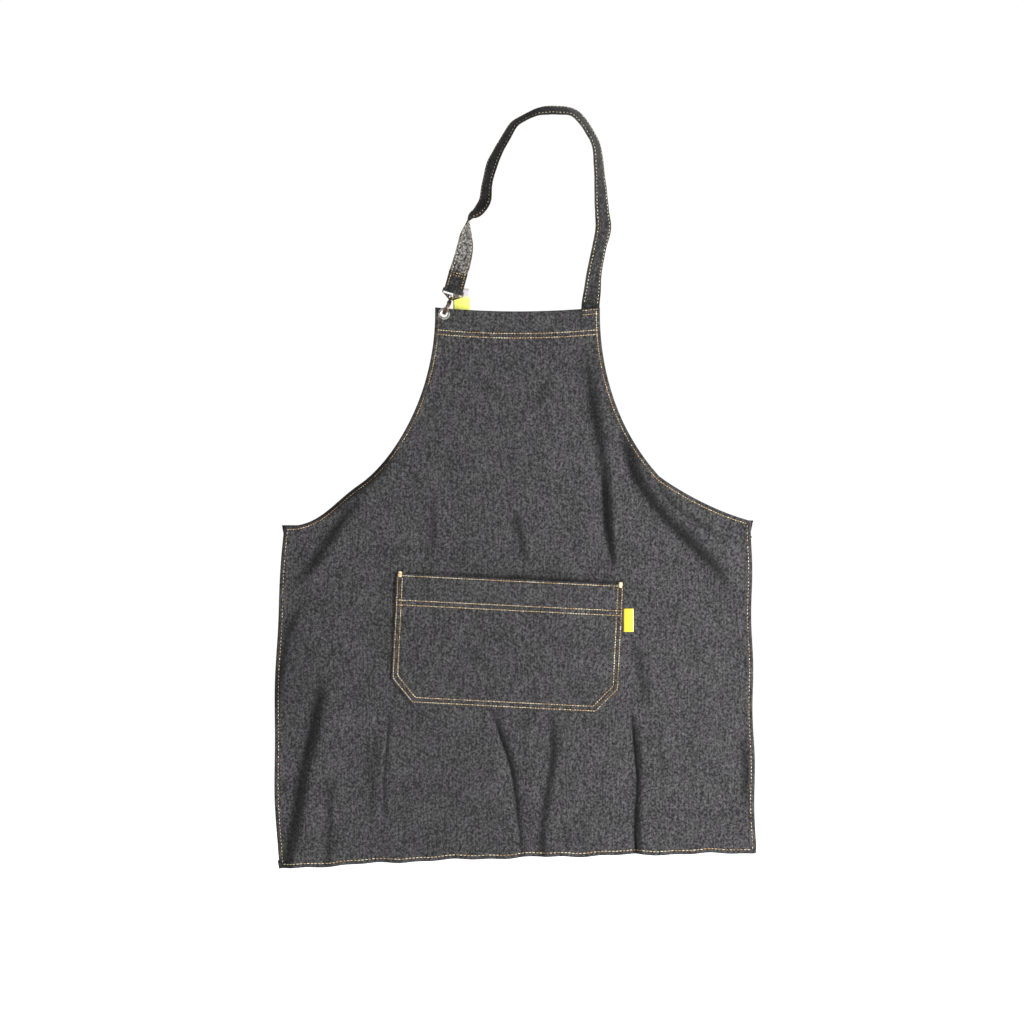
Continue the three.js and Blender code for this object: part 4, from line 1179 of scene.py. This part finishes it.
def tie(name, side, corner, nodes):
    """From its sewn end out to the waist corner, folded back there, and down to the bow."""
    mid = corner[1] + 1 - TIE_WIDTH / 2
    lift = back_of([[corner[0] - side * 10, mid]])[0]
    turn_x = corner[0] - side * 1.4
    turned = through([(corner[0] - side * 28, lift + 2.4), (corner[0] - side * 14, lift + 2.4), (turn_x, lift + 2.5),
                      (turn_x + side * 0.9, lift + 3.2), (turn_x, lift + 4.1), (corner[0] - side * 12, lift + 4.3)], 6)
    path = np.stack([turned[:, 0], turned[:, 1], np.full(len(turned), mid)], 1)
    wide, thick = held(path, (side * 0.21, 0, 0.978))
    first = tie_tape(name + "_sewn_end", path, wide, unit(thick), 0.4, 1.2)
    start = np.array([corner[0] - side * 6, mid])
    end = np.array([side * 13, -BOW_DROP + 2])
    t = np.linspace(0, 1, 90)
    x = start[0] + (end[0] - start[0]) * t
    z = start[1] + (end[1] - start[1]) * t - 56 * t * (1 - t) ** 2
    y = np.maximum(back_of(np.stack([x, z], 1)) + 3.2, 4.4 + 0.9 * np.sin(t * 9 + side))
    y = np.convolve(np.pad(y, 4, mode="edge"), np.ones(9) / 9, "valid") + 0.5
    line = np.stack([x, y, z], 1)
    wide, thick = rolled(line, 14 * np.sin(t * 7 + side) * t)
    narrow = 1 - 0.42 * smooth(0.86, 1.0, t)
    free = tie_tape(name, line, wide, thick, 1.1, scale=narrow, cup=1.5 * smooth(0.7, 1, t))
    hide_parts(*nodes)
    runs = [(line + wide * (edge * (TIE_WIDTH / 2 - 3) * narrow)[:, None] + thick * (face * 0.75), face * thick)
            for edge in (-1, 1) for face in (-1, 1)]
    box_x = corner[0] - side * np.linspace(10, 27, 8)
    runs += [(np.stack([box_x, np.full(8, lift + 3.1), np.full(8, mid + dz)], 1), BACKWARD) for dz in (-9, 9)]
    return free, first, stitching(name + "_stitching", runs, pitch=4, length=2.9)


left_tie, left_sewn, left_tie_stitches = tie("left_waist_tie_tape", -1, waist_left, ("left_waist_tie", "left_tie_tab"))
right_tie, right_sewn, right_tie_stitches = tie("right_waist_tie_tape", 1, waist_right,
                                                ("right_waist_tie", "right_tie_tab"))
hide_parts("left_tie_tab")
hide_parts("right_tie_tab")

bow_low, bow_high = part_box("waist_bow")
bow_y = (bow_low[1] + bow_high[1]) / 2 / MM


def bow_loop(name, side):
    """A loop of tie that leaves the knot, swells and comes back behind itself."""
    out = np.array([side * math.sin(math.radians(118)), 0, math.cos(math.radians(118))])
    t = np.linspace(0, 1, 46)
    reach = 64 * np.sin(np.pi * t) ** 0.8 + 4
    depth = -6.2 * np.sin(2 * np.pi * t) * (0.5 + np.sin(np.pi * t) ** 2 * 0.6)
    sag = -5 * np.sin(np.pi * t) ** 2
    path = np.outer(reach, out) + np.outer(depth + bow_y + 0.5, TO_BACK) + np.outer(sag - BOW_DROP, (0, 0, 1))
    wide, thick = held(path, np.cross(out, TO_BACK))
    full = 0.5 + 0.5 * smooth(0, 0.3, np.minimum(t, 1 - t))
    return tie_tape(name, path, wide, unit(thick), 1.2, scale=full, cup=3.2 * (1 - full))


def bow_tail(name, side):
    t = np.linspace(0, 1, 60)
    x = side * (4 + 16 * np.sin(t * 2.2))
    y = bow_y - 1 + 1.6 * np.sin(t * 6 + side) + side * 0.8
    path = np.stack([x, y, -BOW_DROP - 5 - 160 * t], 1)
    wide, thick = rolled(path, 22 * np.sin(t * 5 + side))
    full = 0.55 + 0.45 * smooth(0, 0.22, t)
    return tie_tape(name, path, wide, thick, 1.3, scale=full, cup=1.8 * (1 - smooth(0, 0.4, t)))


def knot():
    """The wrap of tie round the middle of the bow, with its gathers."""
    a = np.linspace(0, 2 * np.pi, 40)
    path = np.stack([12.5 * np.cos(a) * (1 + 0.05 * np.sin(3 * a)), bow_y + 0.2 + 5.6 * np.sin(a),
                     -BOW_DROP + 1.5 * np.sin(2 * a)], 1)
    wide, thick = held(path, (0.12, 0, 0.99))
    return tape("bow_knot", path, wide, -thick, 19, 2.4, [strap_denim, strap_denim], crumple=1.6, cup=np.full(40, -1.6))


bow_loops = [bow_loop("bow_loop_left", -1), bow_loop("bow_loop_right", 1)]
bow_tails = [bow_tail("bow_tail_left", -1), bow_tail("bow_tail_right", 1)]
bow_knot = knot()
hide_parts("waist_bow")

# ---- Stage, light and camera ----

FLOOR_DROP, FLOOR_REACH = -1.16, 4.5


def floor():
    steps = 64
    verts = [(0, 0, FLOOR_DROP)] + [(FLOOR_REACH * math.cos(t), FLOOR_REACH * math.sin(t), FLOOR_DROP)
                                    for t in np.linspace(0, 2 * np.pi, steps, endpoint=False)]
    faces = [(0, 1 + k, 1 + (k + 1) % steps) for k in range(steps)]
    made, g = new_material("pale floor")
    speck = g.add("TexNoise", {"Scale": 30.0, "Detail": 2.0}).outputs[0]
    surface = g.add("BsdfPrincipled", {"Base Color": g.mix(speck, (0.93, 0.93, 0.93, 1), (0.97, 0.97, 0.97, 1)),
                                       "Roughness": 0.9, "Emission Color": (1, 1, 1, 1), "Emission Strength": 0.75})
    g.add("OutputMaterial", {0: surface.outputs[0]})
    piece = finished("floor", verts, faces, [made])
    piece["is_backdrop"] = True


def area_light(name, place, aim, size, power, tint=(1, 1, 1)):
    light = bpy.data.lights.new(name, "AREA")
    light.shape, light.size, light.size_y = "RECTANGLE", size[0], size[1]
    light.energy, light.color = power, tint
    holder = bpy.data.objects.new(name, light)
    holder.location = place
    holder.rotation_euler = (Vector(aim) - Vector(place)).to_track_quat("-Z", "Y").to_euler()
    bpy.context.scene.collection.objects.link(holder)


floor()
area_light("key", (1.6, -1.1, -0.42), (-0.05, 0, -0.6), (0.5, 0.9), 66)
area_light("fill", (-2.4, -2.6, 0.4), (-0.05, 0, -0.5), (1.6, 1.6), 7)
area_light("behind", (0.6, 2.6, 0.3), (-0.05, 0, -0.5), (1.6, 1.6), 26)

world_light = bpy.data.worlds.new("studio")
world_light.use_nodes = True
world_light.node_tree.nodes.clear()
g = Graph(world_light.node_tree)
seen = g.add("Background", {"Color": (1, 1, 1, 1), "Strength": 1.02})
felt = g.add("Background", {"Color": (0.97, 0.985, 1, 1), "Strength": 0.3})
both = g.add("MixShader", {0: g.add("LightPath").outputs["Is Camera Ray"], 1: felt.outputs[0], 2: seen.outputs[0]})
g.tree.links.new(both.outputs[0], g.add("OutputWorld").inputs[0])
bpy.context.scene.world = world_light
bpy.context.scene.view_settings.view_transform = "Standard"

SENSOR, DISTANCE, FRAMED = 36, 4.0, 1.28
lens = bpy.data.cameras.new("camera")
lens.sensor_width = SENSOR
lens.lens = SENSOR * DISTANCE / FRAMED
camera = bpy.data.objects.new("camera", lens)
camera.location = (-0.0519, -DISTANCE, -0.4963)
camera.rotation_euler = (math.pi / 2, 0, 0)
bpy.context.scene.collection.objects.link(camera)
bpy.context.scene.camera = camera

low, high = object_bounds()
